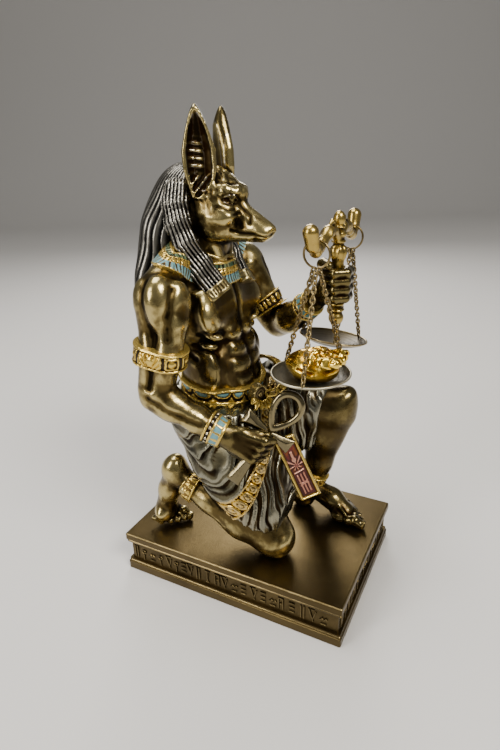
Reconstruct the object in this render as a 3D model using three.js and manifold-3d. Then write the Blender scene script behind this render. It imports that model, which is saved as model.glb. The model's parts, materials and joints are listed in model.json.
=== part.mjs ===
// A kneeling jackal-headed figure on an inscribed plinth, holding a pair of scales and an ankh.
// Millimetres, +Z up. The figure faces -Y and its right side is -X. The origin is the centre of
// the plinth's underside.
import * as THREE from 'three';
import { mergeVertices } from 'three/addons/utils/BufferGeometryUtils.js';
import Module from 'manifold-3d';

const wasm = await Module();
wasm.setup();

// Overall sizes
const gap = 0.3;
const plinth = { length: 136, width: 96, height: 26, foot: 6.3, ledge: 21, recess: 2.2, bead: 1.1 };
const stand = plinth.height + gap;

// Joints of the figure, right side -X
const ribs = [0, 28, 159];
const waist = [0, 22.5, 127];
const pelvis = [0, 23, 103];
const neck = [0, 29, 186];
const skull = [0, 20, 215];
const earTip = [12, 22.5, 257.2];
const shoulderR = [-43, 27, 172];
const elbowR = [-48.5, 34, 124];
const wristR = [-42.5, 3, 109.5];
const shoulderL = [40, 28, 172];
const elbowL = [42, 6, 138];
const wristL = [23, -24, 161];
const hipR = [-14, 22, 98];
const kneeR = [-24, -19, 38];
const ankleR = [-28, 29.5, 58];
const heelR = [-28, 41, 71];
const ballR = [-27, 51.5, 36];
const hipL = [14, 22, 99];
const kneeL = [24, -38, 100];
const ankleL = [24, -24.5, 45];

// Scales: the handle is upright and the beam runs along X
const grip = { x: 16, y: -38.5, radius: 3, low: 155.4, high: 187, pommel: 3.9 };
const arm = { archX: 13, archZ: 202, dipX: 26.8, dipZ: 194, endX: 32.5, endZ: 203, ball: 3.7 };
const budZ = 205;
const ring = { radius: 6.3, wire: 0.55, dropNear: [-9.7, -36.7, 192.5], dropFar: [41.7, -37, 192.6] };
const pan = { radius: 19.5, depth: 4.6, wall: 1.1, lip: 0.8, clear: 0.75, near: [-13, -36, 135.5] };
const panFar = { at: [43.6, -28.4, 135], turn: [5.6, 9, 0] };
const link = { pitch: 2.6, width: 0.85, thin: 0.35, spread: 1.5 };

// What hangs from the belt and what the right hand holds
const pendant = { top: [-9, -19, 92], foot: [-8.5, -35.5, 58], wide: 10.4, thick: 2.4 };
const pendantAcross = [0.72, -0.55, 0.42];
const ankh = { cross: [-30.5, -21.2, 107.3], loop: 24, half: 9.6, shaft: 31, bar: 15, wide: 3.4, thick: 2.4 };

// Raised trim
const trim = { belt: 1.8, armlet: 2, cuff: 1.2, collar: 1.1, wrap: 1.5, border: 5.2 };

// Grid cells and the number of faces that each carved solid keeps
const detail = { figure: [1.25, 5500], beam: [0.9, 760], heart: [0.9, 420], turn: 24 };

// Distance shapes: each has d(x, y, z), the signed distance in mm, and a sphere c, r that holds it
const FAR = 1e6;
const rad = Math.PI / 180;
const mix = (a, b, t) => a.map((v, i) => v + (b[i] - v) * t);
const plus = (a, b, s = 1) => a.map((v, i) => v + b[i] * s);
const side = (s, p) => [s * p[0], p[1], p[2]];
const soft = (a, b, k) => {
  const h = Math.max(k - Math.abs(a - b), 0) / k;
  return Math.min(a, b) - h * h * k * 0.25;
};

function turned(turn) {
  const euler = new THREE.Euler(...turn.map((t) => t * rad), 'ZYX');
  return new THREE.Matrix4().makeRotationFromEuler(euler).elements;
}

function oval(c, radii, turn = [0, 0, 0]) {
  const e = turned(turn);
  const [a, b, g] = radii;
  const d = (x, y, z) => {
    const px = x - c[0];
    const py = y - c[1];
    const pz = z - c[2];
    const u = (px * e[0] + py * e[1] + pz * e[2]) / a;
    const v = (px * e[4] + py * e[5] + pz * e[6]) / b;
    const w = (px * e[8] + py * e[9] + pz * e[10]) / g;
    const k0 = Math.sqrt(u * u + v * v + w * w);
    const k1 = Math.sqrt((u / a) ** 2 + (v / b) ** 2 + (w / g) ** 2);
    return k1 < 1e-9 ? -Math.min(a, b, g) : (k0 * (k0 - 1)) / k1;
  };
  return { d, c, r: Math.max(a, b, g) };
}

function cone(a, b, ra, rb) {
  const [ux, uy, uz] = plus(b, a, -1);
  const len2 = ux * ux + uy * uy + uz * uz;
  const len = Math.sqrt(len2);
  const d = (x, y, z) => {
    const px = x - a[0];
    const py = y - a[1];
    const pz = z - a[2];
    const along = (px * ux + py * uy + pz * uz) / len;
    const out = Math.sqrt(Math.max(px * px + py * py + pz * pz - along * along, 0));
    const t = Math.min(Math.max((along + (out * (ra - rb)) / -len) / len, 0), 1);
    return Math.hypot(along - t * len, out) - (ra + (rb - ra) * t);
  };
  return { d, c: mix(a, b, 0.5), r: len / 2 + Math.max(ra, rb) };
}

function limb(k, points, radii) {
  return blend(k, ...points.slice(1).map((p, i) => cone(points[i], p, radii[i], radii[i + 1])));
}

function barrel(a, b, ra, rb) {
  const [ux, uy, uz] = plus(b, a, -1);
  const len = Math.hypot(ux, uy, uz);
  const d = (x, y, z) => {
    const px = x - a[0];
    const py = y - a[1];
    const pz = z - a[2];
    const along = (px * ux + py * uy + pz * uz) / len;
    const out = Math.sqrt(Math.max(px * px + py * py + pz * pz - along * along, 0));
    return Math.max(-along, along - len, out - (ra + ((rb - ra) * along) / len));
  };
  return { d, c: mix(a, b, 0.5), r: Math.hypot(len / 2, Math.max(ra, rb)) };
}

function holding(shapes) {
  const lo = [0, 1, 2].map((i) => Math.min(...shapes.map((s) => s.c[i] - s.r)));
  const hi = [0, 1, 2].map((i) => Math.max(...shapes.map((s) => s.c[i] + s.r)));
  const c = mix(lo, hi, 0.5);
  return { c, r: Math.max(...shapes.map((s) => Math.hypot(...plus(s.c, c, -1)) + s.r)) };
}

function blend(k, ...shapes) {
  const d = (x, y, z) => {
    let best = FAR;
    for (const s of shapes) {
      const near = Math.hypot(x - s.c[0], y - s.c[1], z - s.c[2]) - s.r;
      if (near - k > best) continue;
      best = soft(best, s.d(x, y, z), k);
    }
    return best;
  };
  return { d, ...holding(shapes) };
}

function carve(k, base, ...tools) {
  const d = (x, y, z) => {
    let v = base.d(x, y, z);
    for (const s of tools) {
      const near = Math.hypot(x - s.c[0], y - s.c[1], z - s.c[2]) - s.r;
      if (near > k - v) continue;
      v = -soft(-v, s.d(x, y, z), k);
    }
    return v;
  };
  return { d, c: base.c, r: base.r };
}

// A layer of the given thickness over a base, kept where inside(x, y, z) is negative
function layer(base, thick, inside, c = base.c, r = base.r) {
  return { d: (x, y, z) => Math.max(base.d(x, y, z) - thick, inside(x, y, z)), c, r };
}

// Body
function torso() {
  const mass = blend(
    7,
    oval(ribs, [28, 18.5, 26]),
    oval(waist, [26, 20.5, 21]),
    oval(pelvis, [26.5, 21, 18]),
    ...[-1, 1].map((s) => oval(side(s, [22, 35, 158]), [10, 13, 24], [0, 0, -15 * s])),
    ...[-1, 1].map((s) => cone(side(s, [5, 34, 192]), side(s, [37, 32, 180]), 9, 8)),
  );
  const chest = [-1, 1].map((s) => oval(side(s, [13.8, 18.5, 161]), [17, 7.8, 13], [-10, 0, -22 * s]));
  const rows = [148.5, 139.5, 130.5];
  const belly = rows.flatMap((z, i) =>
    [-1, 1].map((s) => oval(side(s, [6.2, 11.5 - 1.2 * i, z]), [6.6, 5.2, 4.9])),
  );
  const low = oval([0, 8, 118.5], [14, 8, 9]);
  const flank = [-1, 1].map((s) => oval(side(s, [21.5, 20, 131]), [5, 10, 12], [0, 0, 20 * s]));
  return blend(3, mass, ...chest, ...belly, low, ...flank);
}

function armNear() {
  const [s, e, w] = [shoulderR, elbowR, wristR];
  const heads = [
    oval(plus(s, [-1.5, 0, -1]), [9.6, 8.8, 14.8], [0, -6, 0]),
    oval(plus(s, [3, -5.5, -3]), [8, 6.2, 13.5], [8, 0, 0]),
    oval(plus(s, [0, 8, -2]), [8.4, 6.8, 13.4], [-10, 0, 0]),
  ];
  const upper = [
    limb(3, [plus(s, [-1, -5, -10]), [-47.8, 23.5, 147], [-48, 28.5, 130]], [7.2, 6.7, 6.2]),
    limb(3, [plus(s, [0, 7, -10]), [-48, 32, 147], [-49, 35, 130]], [7.2, 6.7, 6.3]),
  ];
  const beyond = mix(e, w, 1.2);
  const path = [e, plus(mix(e, w, 0.3), [0, 0, 1]), plus(mix(e, w, 0.7), [0, 0, 0.6]), w, beyond];
  const fore = limb(4, path, [7.2, 8, 6.6, 5.6, 5.4]);
  const ridge = cone(plus(e, [-1, -4, 4]), plus(mix(e, w, 0.6), [-1.5, 0, 3]), 6, 4);
  return blend(3.5, blend(3.6, ...heads), ...upper, fore, ridge);
}

function armFar() {
  const [s, e, w] = [shoulderL, elbowL, wristL];
  return blend(
    3.5,
    oval(s, [12, 14, 15.5]),
    limb(3, [plus(s, [2, -8, -6]), plus(e, [0, 3, 5])], [8.5, 7.4]),
    limb(3, [plus(s, [2, 4, -8]), plus(e, [0, 4, 3])], [8, 7]),
    limb(4, [e, mix(e, w, 0.35), w], [7.2, 8.2, 5.4]),
  );
}

// The closed right hand: a palm, four fingers side by side down the shaft and a thumb
function handNear() {
  const shaft = ankhAxes().up;
  const point = [0.33, -0.86, -0.39];
  const knuckle = [-37.6, -9.4, 106.2];
  const fingers = [0, 1, 2, 3].map((i) => {
    const k = plus(knuckle, shaft, -3.9 * i);
    const bend = plus(k, point, 12 - 0.8 * i);
    const tip = plus(bend, [6, 3, -1]);
    return limb(0.8, [k, bend, tip, plus(tip, [0.5, 6, 1])], [2.9, 2.5, 2.4, 2]);
  });
  const back = oval([-37.6, -6.5, 101.5], [5.6, 8, 8.8], [-24, 0, 0]);
  const palm = blend(3, back, cone(wristR, [-38.8, -4, 104.5], 5.6, 5.6));
  const thumb = limb(1.5, [[-36.5, -4, 108.5], [-33, -12, 111], [-29, -17.5, 108.5]], [3.4, 3, 2.4]);
  return blend(1.2, palm, ...fingers, thumb);
}

// The closed left hand: fingers as arcs round the upright grip
function handFar() {
  const palm = oval([20.5, -34, 171], [6.2, 6.4, 10], [0, 0, 20]);
  const fingers = [0, 1, 2, 3].map((i) => {
    const z = 179.6 - 4.3 * i;
    const reach = 6.2 - 0.15 * i;
    const at = (deg) => [grip.x + reach * Math.cos(deg * rad), grip.y + reach * Math.sin(deg * rad), z];
    return limb(0.6, [20, -50, -115, -175, -225].map(at), [2.7, 2.6, 2.5, 2.4, 2]);
  });
  const thumb = limb(1.2, [[21, -30, 178], [14, -31.5, 183], [9.8, -36, 183.4]], [3.6, 3, 2.4]);
  return blend(1, blend(3, palm, cone(wristL, [21, -31, 168], 5.4, 5.8)), ...fingers, thumb);
}

function legFar() {
  const [h, k, a] = [hipL, kneeL, ankleL];
  const thigh = limb(5, [h, mix(h, k, 0.5), k], [21, 17, 11.5]);
  const cap = oval(plus(k, [0, -4.5, 5.5]), [8, 6.5, 8.5], [35, 0, 0]);
  const calf = limb(5, [k, plus(mix(k, a, 0.33), [0, 4, 0]), mix(k, a, 0.72), a], [10.8, 11.6, 7.2, 5.4]);
  const shin = cone(plus(k, [0, -6, -6]), plus(a, [0, -3, 4]), 4.5, 3.2);
  return blend(4, thigh, cap, calf, shin);
}

// Five toes from the big one outwards, step apart along X, each arched and its tip lower by drop
function toes(root, aim, step, drop) {
  return [0, 1, 2, 3, 4].map((i) => {
    const a = plus(root, [step * i, 0.49 * i * i, 0]);
    const b = plus(a, aim, 1 - 0.1 * i);
    const r = 2.9 * (i ? 0.8 - 0.04 * i : 1.1);
    return limb(1, [a, plus(mix(a, b, 0.55), [0, 0, 1]), plus(b, [0, 0, -drop])], [r, r * 0.92, r * 0.9]);
  });
}

function footFar() {
  const a = ankleL;
  const sole = stand + 3;
  const heel = oval([a[0], a[1] + 6, sole + 4], [6.3, 8, 8]);
  const arch = limb(4, [plus(a, [0, 0, -4]), [23.5, -38, sole + 7], [22, -47, sole + 2.2]], [6.4, 6.2, 5]);
  const pad = oval([22, -46, sole + 0.6], [9.6, 7, 4.2], [0, 0, -12]);
  const knobs = [-1, 1].map((s) => oval(plus(a, [6 * s, 1, -1]), [2.4, 3, 3]));
  const front = toes([15, -51, sole + 0.8], [0.5, -7.5, 0], 3.9, 1.2);
  return blend(1.2, blend(3, heel, arch, pad), ...knobs, ...front);
}

function legNear() {
  const [h, k, a] = [hipR, kneeR, ankleR];
  const thigh = limb(5, [h, mix(h, k, 0.5), k], [22, 18, 11.2]);
  const cap = oval(plus(k, [0, -5, -2]), [8.5, 7.5, 9]);
  const calf = limb(5, [k, mix(k, a, 0.35), mix(k, a, 0.75), a], [11, 11.4, 7.4, 6]);
  return blend(4, thigh, cap, calf);
}

function footNear() {
  const heel = oval(plus(heelR, [0, 0, -2]), [6.6, 6.4, 8.5], [20, 0, 0]);
  const path = [ankleR, plus(heelR, [0, 0, -4]), mix(heelR, ballR, 0.55), ballR];
  const sole = limb(4, path, [6.4, 6.6, 6, 6.2]);
  const pad = oval(plus(ballR, [0, -1, -1]), [9.6, 6, 6.5]);
  const knobs = [-1, 1].map((s) => oval(plus(ankleR, [6 * s, 2, 1]), [2.4, 3, 3]));
  const bent = toes([-20.5, 48, 31.5], [0, -8.5, -1.8], -3.3, 0.5);
  return blend(1.2, blend(3, heel, sole, pad), ...knobs, ...bent);
}

// Jackal head
function head() {
  const bulk = blend(
    4,
    oval(plus(skull, [0, 0.5, -1.5]), [13.6, 16, 13.6]),
    cone([0, 21, 221.3], [0, 8, 213], 9, 7.4),
    cone([0, 6, 207], [0, -6.5, 201], 8.6, 4.3),
    cone([0, 16, 199], [0, -4, 197.6], 7.8, 2.9),
    ...[-1, 1].map((s) => oval(side(s, [8, 17, 205.5]), [6.6, 11, 10])),
  );
  const ridge = [[3.4, 3.6, 214.8], [6, 4.8, 217.4], [10.4, 9.2, 218.2]];
  const brow = [-1, 1].map((s) => limb(1, ridge.map((p) => side(s, p)), [1.3, 1.5, 1.4]));
  const lids = [-1, 1].map((s) => oval(side(s, [7.8, 6, 214.4]), [1.8, 2.9, 1.7], [0, 10, 30 * s]));
  const tip = oval([0, -9.2, 201.2], [3.1, 2.6, 2.5]);
  const lips = [-1, 1].map((s) => cone(side(s, [3, -7, 199.8]), side(s, [6.4, 5, 201.2]), 1.5, 2));
  const face = blend(1.4, bulk, ...brow, ...lids, tip, ...lips);
  const mouth = [-1, 1].map((s) => cone(side(s, [2.4, -10, 197.9]), side(s, [8.6, 5, 199.2]), 0.55, 0.6));
  return carve(0.6, face, ...mouth);
}

function throat() {
  const core = limb(4, [[0, 25, 204], neck], [12.5, 12]);
  const cords = [-1, 1].map((s) => cone(side(s, [9, 20, 200]), side(s, [3.5, 17.5, 183]), 3, 2.6));
  return blend(2, core, ...cords);
}

// A pointed leaf, hollowed from its open side
function ear(s) {
  const root = new THREE.Vector3(12 * s, 21, 214);
  const up = new THREE.Vector3(...side(s, earTip)).sub(root);
  const high = up.length();
  up.normalize();
  const open = new THREE.Vector3(0.84 * s, -0.54, 0).projectOnPlane(up).normalize();
  const across = new THREE.Vector3().crossVectors(up, open);
  const leaf = (p, half, deep, lift) => {
    const v = Math.min(Math.max(p.dot(up) / high, 0), 1);
    const wide = Math.max(half * Math.min(1, 0.5 + 1.3 * v, 1.6 * Math.pow(1 - v, 0.66)), 0.2);
    const thick = Math.max(Math.min(deep, wide), 0.2);
    const end = Math.max(p.dot(up) - high, -p.dot(up));
    return Math.max((Math.hypot(p.dot(across) / wide, (p.dot(open) - lift) / thick) - 1) * thick, end);
  };
  const p = new THREE.Vector3();
  const foot = root.toArray();
  const d = (x, y, z) => {
    p.set(x - foot[0], y - foot[1], z - foot[2]);
    return Math.max(leaf(p, 8, 4.6, 0), -leaf(p, 6.3, 5, 3), p.dot(open) - 1.6);
  };
  return { d, c: root.addScaledVector(up, high / 2).toArray(), r: high / 2 + 5 };
}

// Striped head cloth of long strands: a cap, a fall down the back and a lappet on each side
const lappetInner = [
  [14.5, 31, 222], [17, 31, 215], [18.5, 29.5, 207],
  [18.3, 26.3, 197], [15.2, 20.8, 186], [11, 11, 171.5],
];
const lappetOuter = [
  [16, 36, 222], [19.5, 35.5, 214], [21.5, 33, 204.5],
  [21.5, 28.8, 193], [20, 22.5, 182], [18.7, 13.5, 169.5],
];

function wig() {
  const cap = oval([0, 35, 211.5], [18.6, 20.5, 21]);
  const fall = blend(6, oval([0, 45, 195], [25, 16, 26]), oval([0, 49, 171], [31, 14, 31]));
  const back = blend(5, cap, fall);
  const backCut = { ...back, d: (x, y, z) => Math.max(back.d(x, y, z), 29.5 - y, 153 - z) };
  const lappets = [-1, 1].map((s) => {
    const edge = (path) => limb(3, path.map((p) => side(s, p)), [3, 3.2, 3.3, 3.3, 3.3, 3.3]);
    const strap = blend(5, edge(lappetInner), edge(lappetOuter));
    const end = mix(lappetInner[5], lappetOuter[5], 0.5);
    const aim = new THREE.Vector3(...plus(end, mix(lappetInner[4], lappetOuter[4], 0.5), -1)).normalize();
    const past = (x, y, z) => (s * x - end[0]) * aim.x + (y - end[1]) * aim.y + (z - end[2]) * aim.z;
    return { ...strap, d: (x, y, z) => Math.max(strap.d(x, y, z), past(x, y, z)) };
  });
  return blend(2.5, backCut, ...lappets);
}

// Kilt: a wrap over both thighs that falls to a hem rising towards the back
const hemZ = (y) => 60 + 0.52 * y;
// The near side wraps over the front: its edge lies in a plane from the belt to the hem
const overlap = (x, y, z) => 0.742 * (x + 22) - 0.319 * (y + 16) - 0.588 * (z - 90);

function kilt() {
  const cloth = blend(
    8,
    oval([0, 26, 102], [28.5, 23, 17]),
    limb(6, [[-12, 20, 104], [-17, 6, 82], [-23, -9, 54]], [24, 22.5, 19]),
    limb(6, [[12, 20, 104], [17, 0, 102], [21, -24, 100]], [23, 20.5, 16]),
    limb(5, [[-3, 4, 104], [-6, -8, 84], [-11, -16, 58]], [11, 9.5, 9.5]),
  );
  const fold = (v, pitch) => Math.sin((v / pitch) * 2 * Math.PI);
  const d = (x, y, z) => {
    const edge = overlap(x, y, z);
    const under = 0.55 * fold(0.45 * x - 0.89 * y, 4.6);
    const over = trim.wrap + 0.5 * fold(edge, 6.2);
    const band = edge > -trim.border ? trim.wrap + 0.5 : over;
    const lift = edge > 0 ? under : band;
    const hem = hemZ(y) - z;
    const knee = -34 + 0.14 * (108 - z) - y;
    const top = z - 0.15 * y - 111.5;
    return Math.max(cloth.d(x, y, z) - lift, hem, knee, top);
  };
  return { ...cloth, d };
}

// Ankh: up runs from the shaft to the loop, bar along the crossbar, face out of its plane
function ankhAxes() {
  const up = new THREE.Vector3(0.3, -0.5, 0.81).normalize();
  const bar = new THREE.Vector3(0.21, -0.85, -0.48);
  bar.addScaledVector(up, -bar.dot(up)).normalize();
  const face = new THREE.Vector3().crossVectors(bar, up).normalize();
  return { up: up.toArray(), bar: bar.toArray(), face: face.toArray() };
}

function ankhSolid() {
  const { up, bar, face } = ankhAxes();
  const { cross, loop, half, shaft, bar: reach, wide, thick } = ankh;
  const drop = (out, length, lift) => (i, n) => {
    const t = (i / n) * 2 * Math.PI;
    return [out * Math.sin(t) * Math.pow(Math.sin(t / 2), 0.85), lift + (length * (1 - Math.cos(t))) / 2];
  };
  const outer = drop(half, loop, 0);
  const inner = drop(half - wide, loop - 2.1 * wide, 1.25 * wide);
  const [slim, end] = [1.5, 3.1];
  const shape = new THREE.Shape();
  shape.moveTo(slim, slim);
  shape.lineTo(reach, end);
  shape.lineTo(reach, -end);
  shape.lineTo(slim, -slim);
  shape.lineTo(end, -shaft);
  shape.lineTo(-end, -shaft);
  shape.lineTo(-slim, -slim);
  shape.lineTo(-reach, -end);
  shape.lineTo(-reach, end);
  shape.lineTo(-slim, slim);
  for (let i = 21; i >= 3; i--) shape.lineTo(...outer(i, 24));
  const hole = [...Array(18).keys()].map((i) => new THREE.Vector2(...inner(i, 18)));
  shape.holes.push(new THREE.Path(hole));
  const g = new THREE.ExtrudeGeometry(shape, { depth: thick, bevelEnabled: false, curveSegments: 4 });
  g.translate(0, 0, -thick / 2);
  return placed(g, bar, up, face, cross);
}

// Pendant panel: a framed plate hanging from the belt between the thighs
function pendantSolid() {
  const { top, foot, wide, thick } = pendant;
  const up = new THREE.Vector3(...plus(top, foot, -1));
  const high = up.length();
  up.normalize();
  const across = new THREE.Vector3(...pendantAcross).projectOnPlane(up).normalize();
  const face = new THREE.Vector3().crossVectors(across, up);
  const corners = [[-wide / 2, 0], [wide / 2, 0], [wide / 2, high], [-wide / 2, high]];
  const shape = new THREE.Shape(corners.map((c) => new THREE.Vector2(...c)));
  const g = new THREE.ExtrudeGeometry(shape, { depth: thick, bevelEnabled: false });
  return placed(g, across.toArray(), up.toArray(), face.toArray(), foot);
}

// Geometry merged by position and set along three axes
function placed(g, x, y, z, at) {
  g.deleteAttribute('normal');
  g.deleteAttribute('uv');
  const axes = [x, y, z].map((v) => new THREE.Vector3(...v));
  const m = new THREE.Matrix4().makeBasis(...axes).setPosition(...at);
  return mergeVertices(g, 1e-4).applyMatrix4(m);
}

function solidOf(g) {
  const vertProperties = new Float32Array(g.attributes.position.array);
  const triVerts = new Uint32Array(g.index.array);
  return new wasm.Manifold(new wasm.Mesh({ numProp: 3, vertProperties, triVerts }));
}

function geometryFrom(solid) {
  const mesh = solid.getMesh();
  return geometryOf([...mesh.vertProperties], [...mesh.triVerts]);
}

// Raised band: a layer over a limb between two planes
function band(base, at, aim, half, thick, reach) {
  const n = new THREE.Vector3(...aim).normalize();
  const inside = (x, y, z) => Math.abs((x - at[0]) * n.x + (y - at[1]) * n.y + (z - at[2]) * n.z) - half;
  return layer(base, thick, inside, at, reach);
}

function collar(base) {
  const inside = (x, y, z) => {
    const out = Math.hypot(x / 37, (y - 33) / (y < 33 ? 22 : 18));
    return Math.max((out - 1) * 20, 168 - z);
  };
  return layer(base, trim.collar, inside, [0, 28, 184], 44);
}

// Belt with its front disc, armlets, bracelets, anklets and collar
function jewels(parts) {
  return [
    band(parts.torso, [0, 14, 116.5], [0, -0.15, 1], 4, trim.belt, 40),
    band(parts.armNear, [-48, 27.5, 147.5], [0.02, -0.15, 1], 4.6, trim.armlet, 17),
    band(parts.armFar, [38, 12, 152], [0.1, -0.55, -0.8], 4, trim.cuff, 16),
    band(parts.armNear, mix(elbowR, wristR, 1.02), plus(wristR, elbowR, -1), 4.8, trim.cuff, 12),
    band(parts.armFar, mix(elbowL, wristL, 0.86), plus(wristL, elbowL, -1), 4.2, trim.cuff, 12),
    band(parts.legNear, plus(ankleR, [0, 1.5, 0.6]), plus(ankleR, kneeR, -1), 3.4, trim.cuff, 11),
    band(parts.legFar, plus(ankleL, [0, -0.6, 5]), plus(ankleL, kneeL, -1), 3, trim.cuff, 11),
    collar(blend(2, parts.torso, parts.throat)),
    barrel([-5.5, 1, 115], [-7, -4.6, 114.6], 5.4, 5),
  ];
}

function figureShape() {
  const parts = {
    torso: torso(),
    armNear: armNear(),
    armFar: armFar(),
    throat: throat(),
    legNear: legNear(),
    legFar: legFar(),
  };
  const skin = blend(3, ...Object.values(parts));
  const ends = [footNear(), footFar(), handNear(), handFar(), blend(1.6, head(), ear(-1), ear(1))];
  const dressed = blend(0.5, blend(1.5, skin, ...ends), wig(), kilt(), ...jewels(parts));
  return { ...dressed, d: (x, y, z) => Math.max(dressed.d(x, y, z), stand - z) };
}

// Surface of a distance shape by marching tetrahedra on a grid of the given cell
const TETS = [[1, 2, 4], [2, 4, 1], [4, 1, 2], [1, 4, 2], [2, 1, 4], [4, 2, 1]].map(([a, b], i) =>
  i < 3 ? [0, a, a | b, 7] : [0, a | b, a, 7],
);
const ORDER = {
  1: [0, 1, 2, 3], 2: [1, 0, 3, 2], 4: [2, 3, 0, 1], 8: [3, 2, 1, 0],
  3: [0, 1, 2, 3], 5: [0, 2, 3, 1], 9: [0, 3, 1, 2], 6: [1, 2, 0, 3], 10: [1, 3, 2, 0], 12: [2, 3, 0, 1],
};
const BLOCK = 8;

function surface(shape, lo, hi, cell) {
  const [nx, ny, nz] = lo.map((v, i) => Math.ceil((hi[i] - v) / cell / BLOCK) * BLOCK + 1);
  const values = new Float32Array(nx * ny * nz).fill(NaN);
  const at = (i, j, k) => (k * ny + j) * nx + i;
  const value = (i, j, k) => {
    const g = at(i, j, k);
    if (Number.isNaN(values[g])) {
      values[g] = shape.d(lo[0] + i * cell, lo[1] + j * cell, lo[2] + k * cell) || 1e-5;
    }
    return values[g];
  };
  const points = [];
  const faces = [];
  const made = new Map();
  const step = [...Array(8).keys()].map((b) => at(b & 1, (b >> 1) & 1, (b >> 2) & 1));
  const onEdge = (i, j, k, p, q) => {
    const [m, n] = p < q ? [p, q] : [q, p];
    const key = (at(i, j, k) + step[m]) * 8 + (m ^ n);
    if (made.has(key)) return made.get(key);
    const [a, b] = [m, n].map((c) => [i + (c & 1), j + ((c >> 1) & 1), k + ((c >> 2) & 1)]);
    const [va, vb] = [value(...a), value(...b)];
    const t = Math.min(Math.max(va / (va - vb), 0.02), 0.98);
    points.push(...mix(a, b, t).map((v, w) => lo[w] + v * cell));
    made.set(key, points.length / 3 - 1);
    return points.length / 3 - 1;
  };
  const tetrahedron = (i, j, k, tet, inside) => {
    const count = inside.reduce((n, b) => n + b, 0);
    if (count === 0 || count === 4) return;
    const mask = inside.reduce((m, b, n) => m | (b << n), 0);
    const [a, b, c, d] = (ORDER[count === 3 ? 15 - mask : mask]).map((n) => tet[n]);
    const e = (p, q) => onEdge(i, j, k, p, q);
    if (count === 2) faces.push(e(a, c), e(a, d), e(b, d), e(a, c), e(b, d), e(b, c));
    else if (count === 1) faces.push(e(a, b), e(a, c), e(a, d));
    else faces.push(e(a, b), e(a, d), e(a, c));
  };
  const cube = (i, j, k) => {
    const corner = step.map((_, b) => value(i + (b & 1), j + ((b >> 1) & 1), k + ((b >> 2) & 1)) < 0);
    if (corner.every((v) => v === corner[0])) return;
    for (const tet of TETS) tetrahedron(i, j, k, tet, tet.map((c) => corner[c]));
  };
  const reach = cell * BLOCK * 0.9 + 2;
  for (let bk = 0; bk < nz - 1; bk += BLOCK) {
    for (let bj = 0; bj < ny - 1; bj += BLOCK) {
      for (let bi = 0; bi < nx - 1; bi += BLOCK) {
        const mid = [bi, bj, bk].map((v, w) => lo[w] + (v + BLOCK / 2) * cell);
        if (Math.abs(shape.d(...mid)) > reach) continue;
        for (let k = bk; k < bk + BLOCK; k++) {
          for (let j = bj; j < bj + BLOCK; j++) {
            for (let i = bi; i < bi + BLOCK; i++) {
              cube(i, j, k);
            }
          }
        }
      }
    }
  }
  return { points, faces };
}

// Heap of edges by cost
class Heap {
  constructor() {
    this.items = [];
  }
  push(item) {
    const a = this.items;
    let i = a.push(item) - 1;
    while (i > 0) {
      const up = (i - 1) >> 1;
      if (a[up][0] <= item[0]) break;
      a[i] = a[up];
      i = up;
    }
    a[i] = item;
  }
  pop() {
    const a = this.items;
    const top = a[0];
    const last = a.pop();
    if (!a.length) return top;
    let i = 0;
    for (;;) {
      let n = 2 * i + 1;
      if (n >= a.length) break;
      if (n + 1 < a.length && a[n + 1][0] < a[n][0]) n++;
      if (a[n][0] >= last[0]) break;
      a[i] = a[n];
      i = n;
    }
    a[i] = last;
    return top;
  }
}

const sub = (a, b) => [a[0] - b[0], a[1] - b[1], a[2] - b[2]];
const dot = (a, b) => a[0] * b[0] + a[1] * b[1] + a[2] * b[2];
const crossOf = (a, b) => [a[1] * b[2] - a[2] * b[1], a[2] * b[0] - a[0] * b[2], a[0] * b[1] - a[1] * b[0]];
const normalOf = (a, b, c) => crossOf(sub(b, a), sub(c, a));

// Squared distance to planes, kept as ten sums
function addPlane(q, n, d, w) {
  const v = [...n, d];
  let m = 0;
  for (let i = 0; i < 4; i++) {
    for (let j = i; j < 4; j++) q[m++] += w * v[i] * v[j];
  }
}

function errorAt(q, [x, y, z]) {
  return (
    q[0] * x * x + 2 * q[1] * x * y + 2 * q[2] * x * z + 2 * q[3] * x + q[4] * y * y +
    2 * q[5] * y * z + 2 * q[6] * y + q[7] * z * z + 2 * q[8] * z + q[9]
  );
}

// The point of least error, held near the given point where the planes leave it free
function lowest(q, near) {
  const hold = 2e-3 * (q[0] + q[4] + q[7]) + 1e-9;
  const [a, b, c, e, f, h] = [q[0] + hold, q[1], q[2], q[4] + hold, q[5], q[7] + hold];
  const r = [hold * near[0] - q[3], hold * near[1] - q[6], hold * near[2] - q[8]];
  const [m0, m1, m2] = [e * h - f * f, c * f - b * h, b * f - e * c];
  const det = a * m0 + b * m1 + c * m2;
  return [
    (r[0] * m0 + r[1] * m1 + r[2] * m2) / det,
    (r[0] * m1 + r[1] * (a * h - c * c) + r[2] * (b * c - a * f)) / det,
    (r[0] * m2 + r[1] * (b * c - a * f) + r[2] * (a * e - b * b)) / det,
  ];
}

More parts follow.
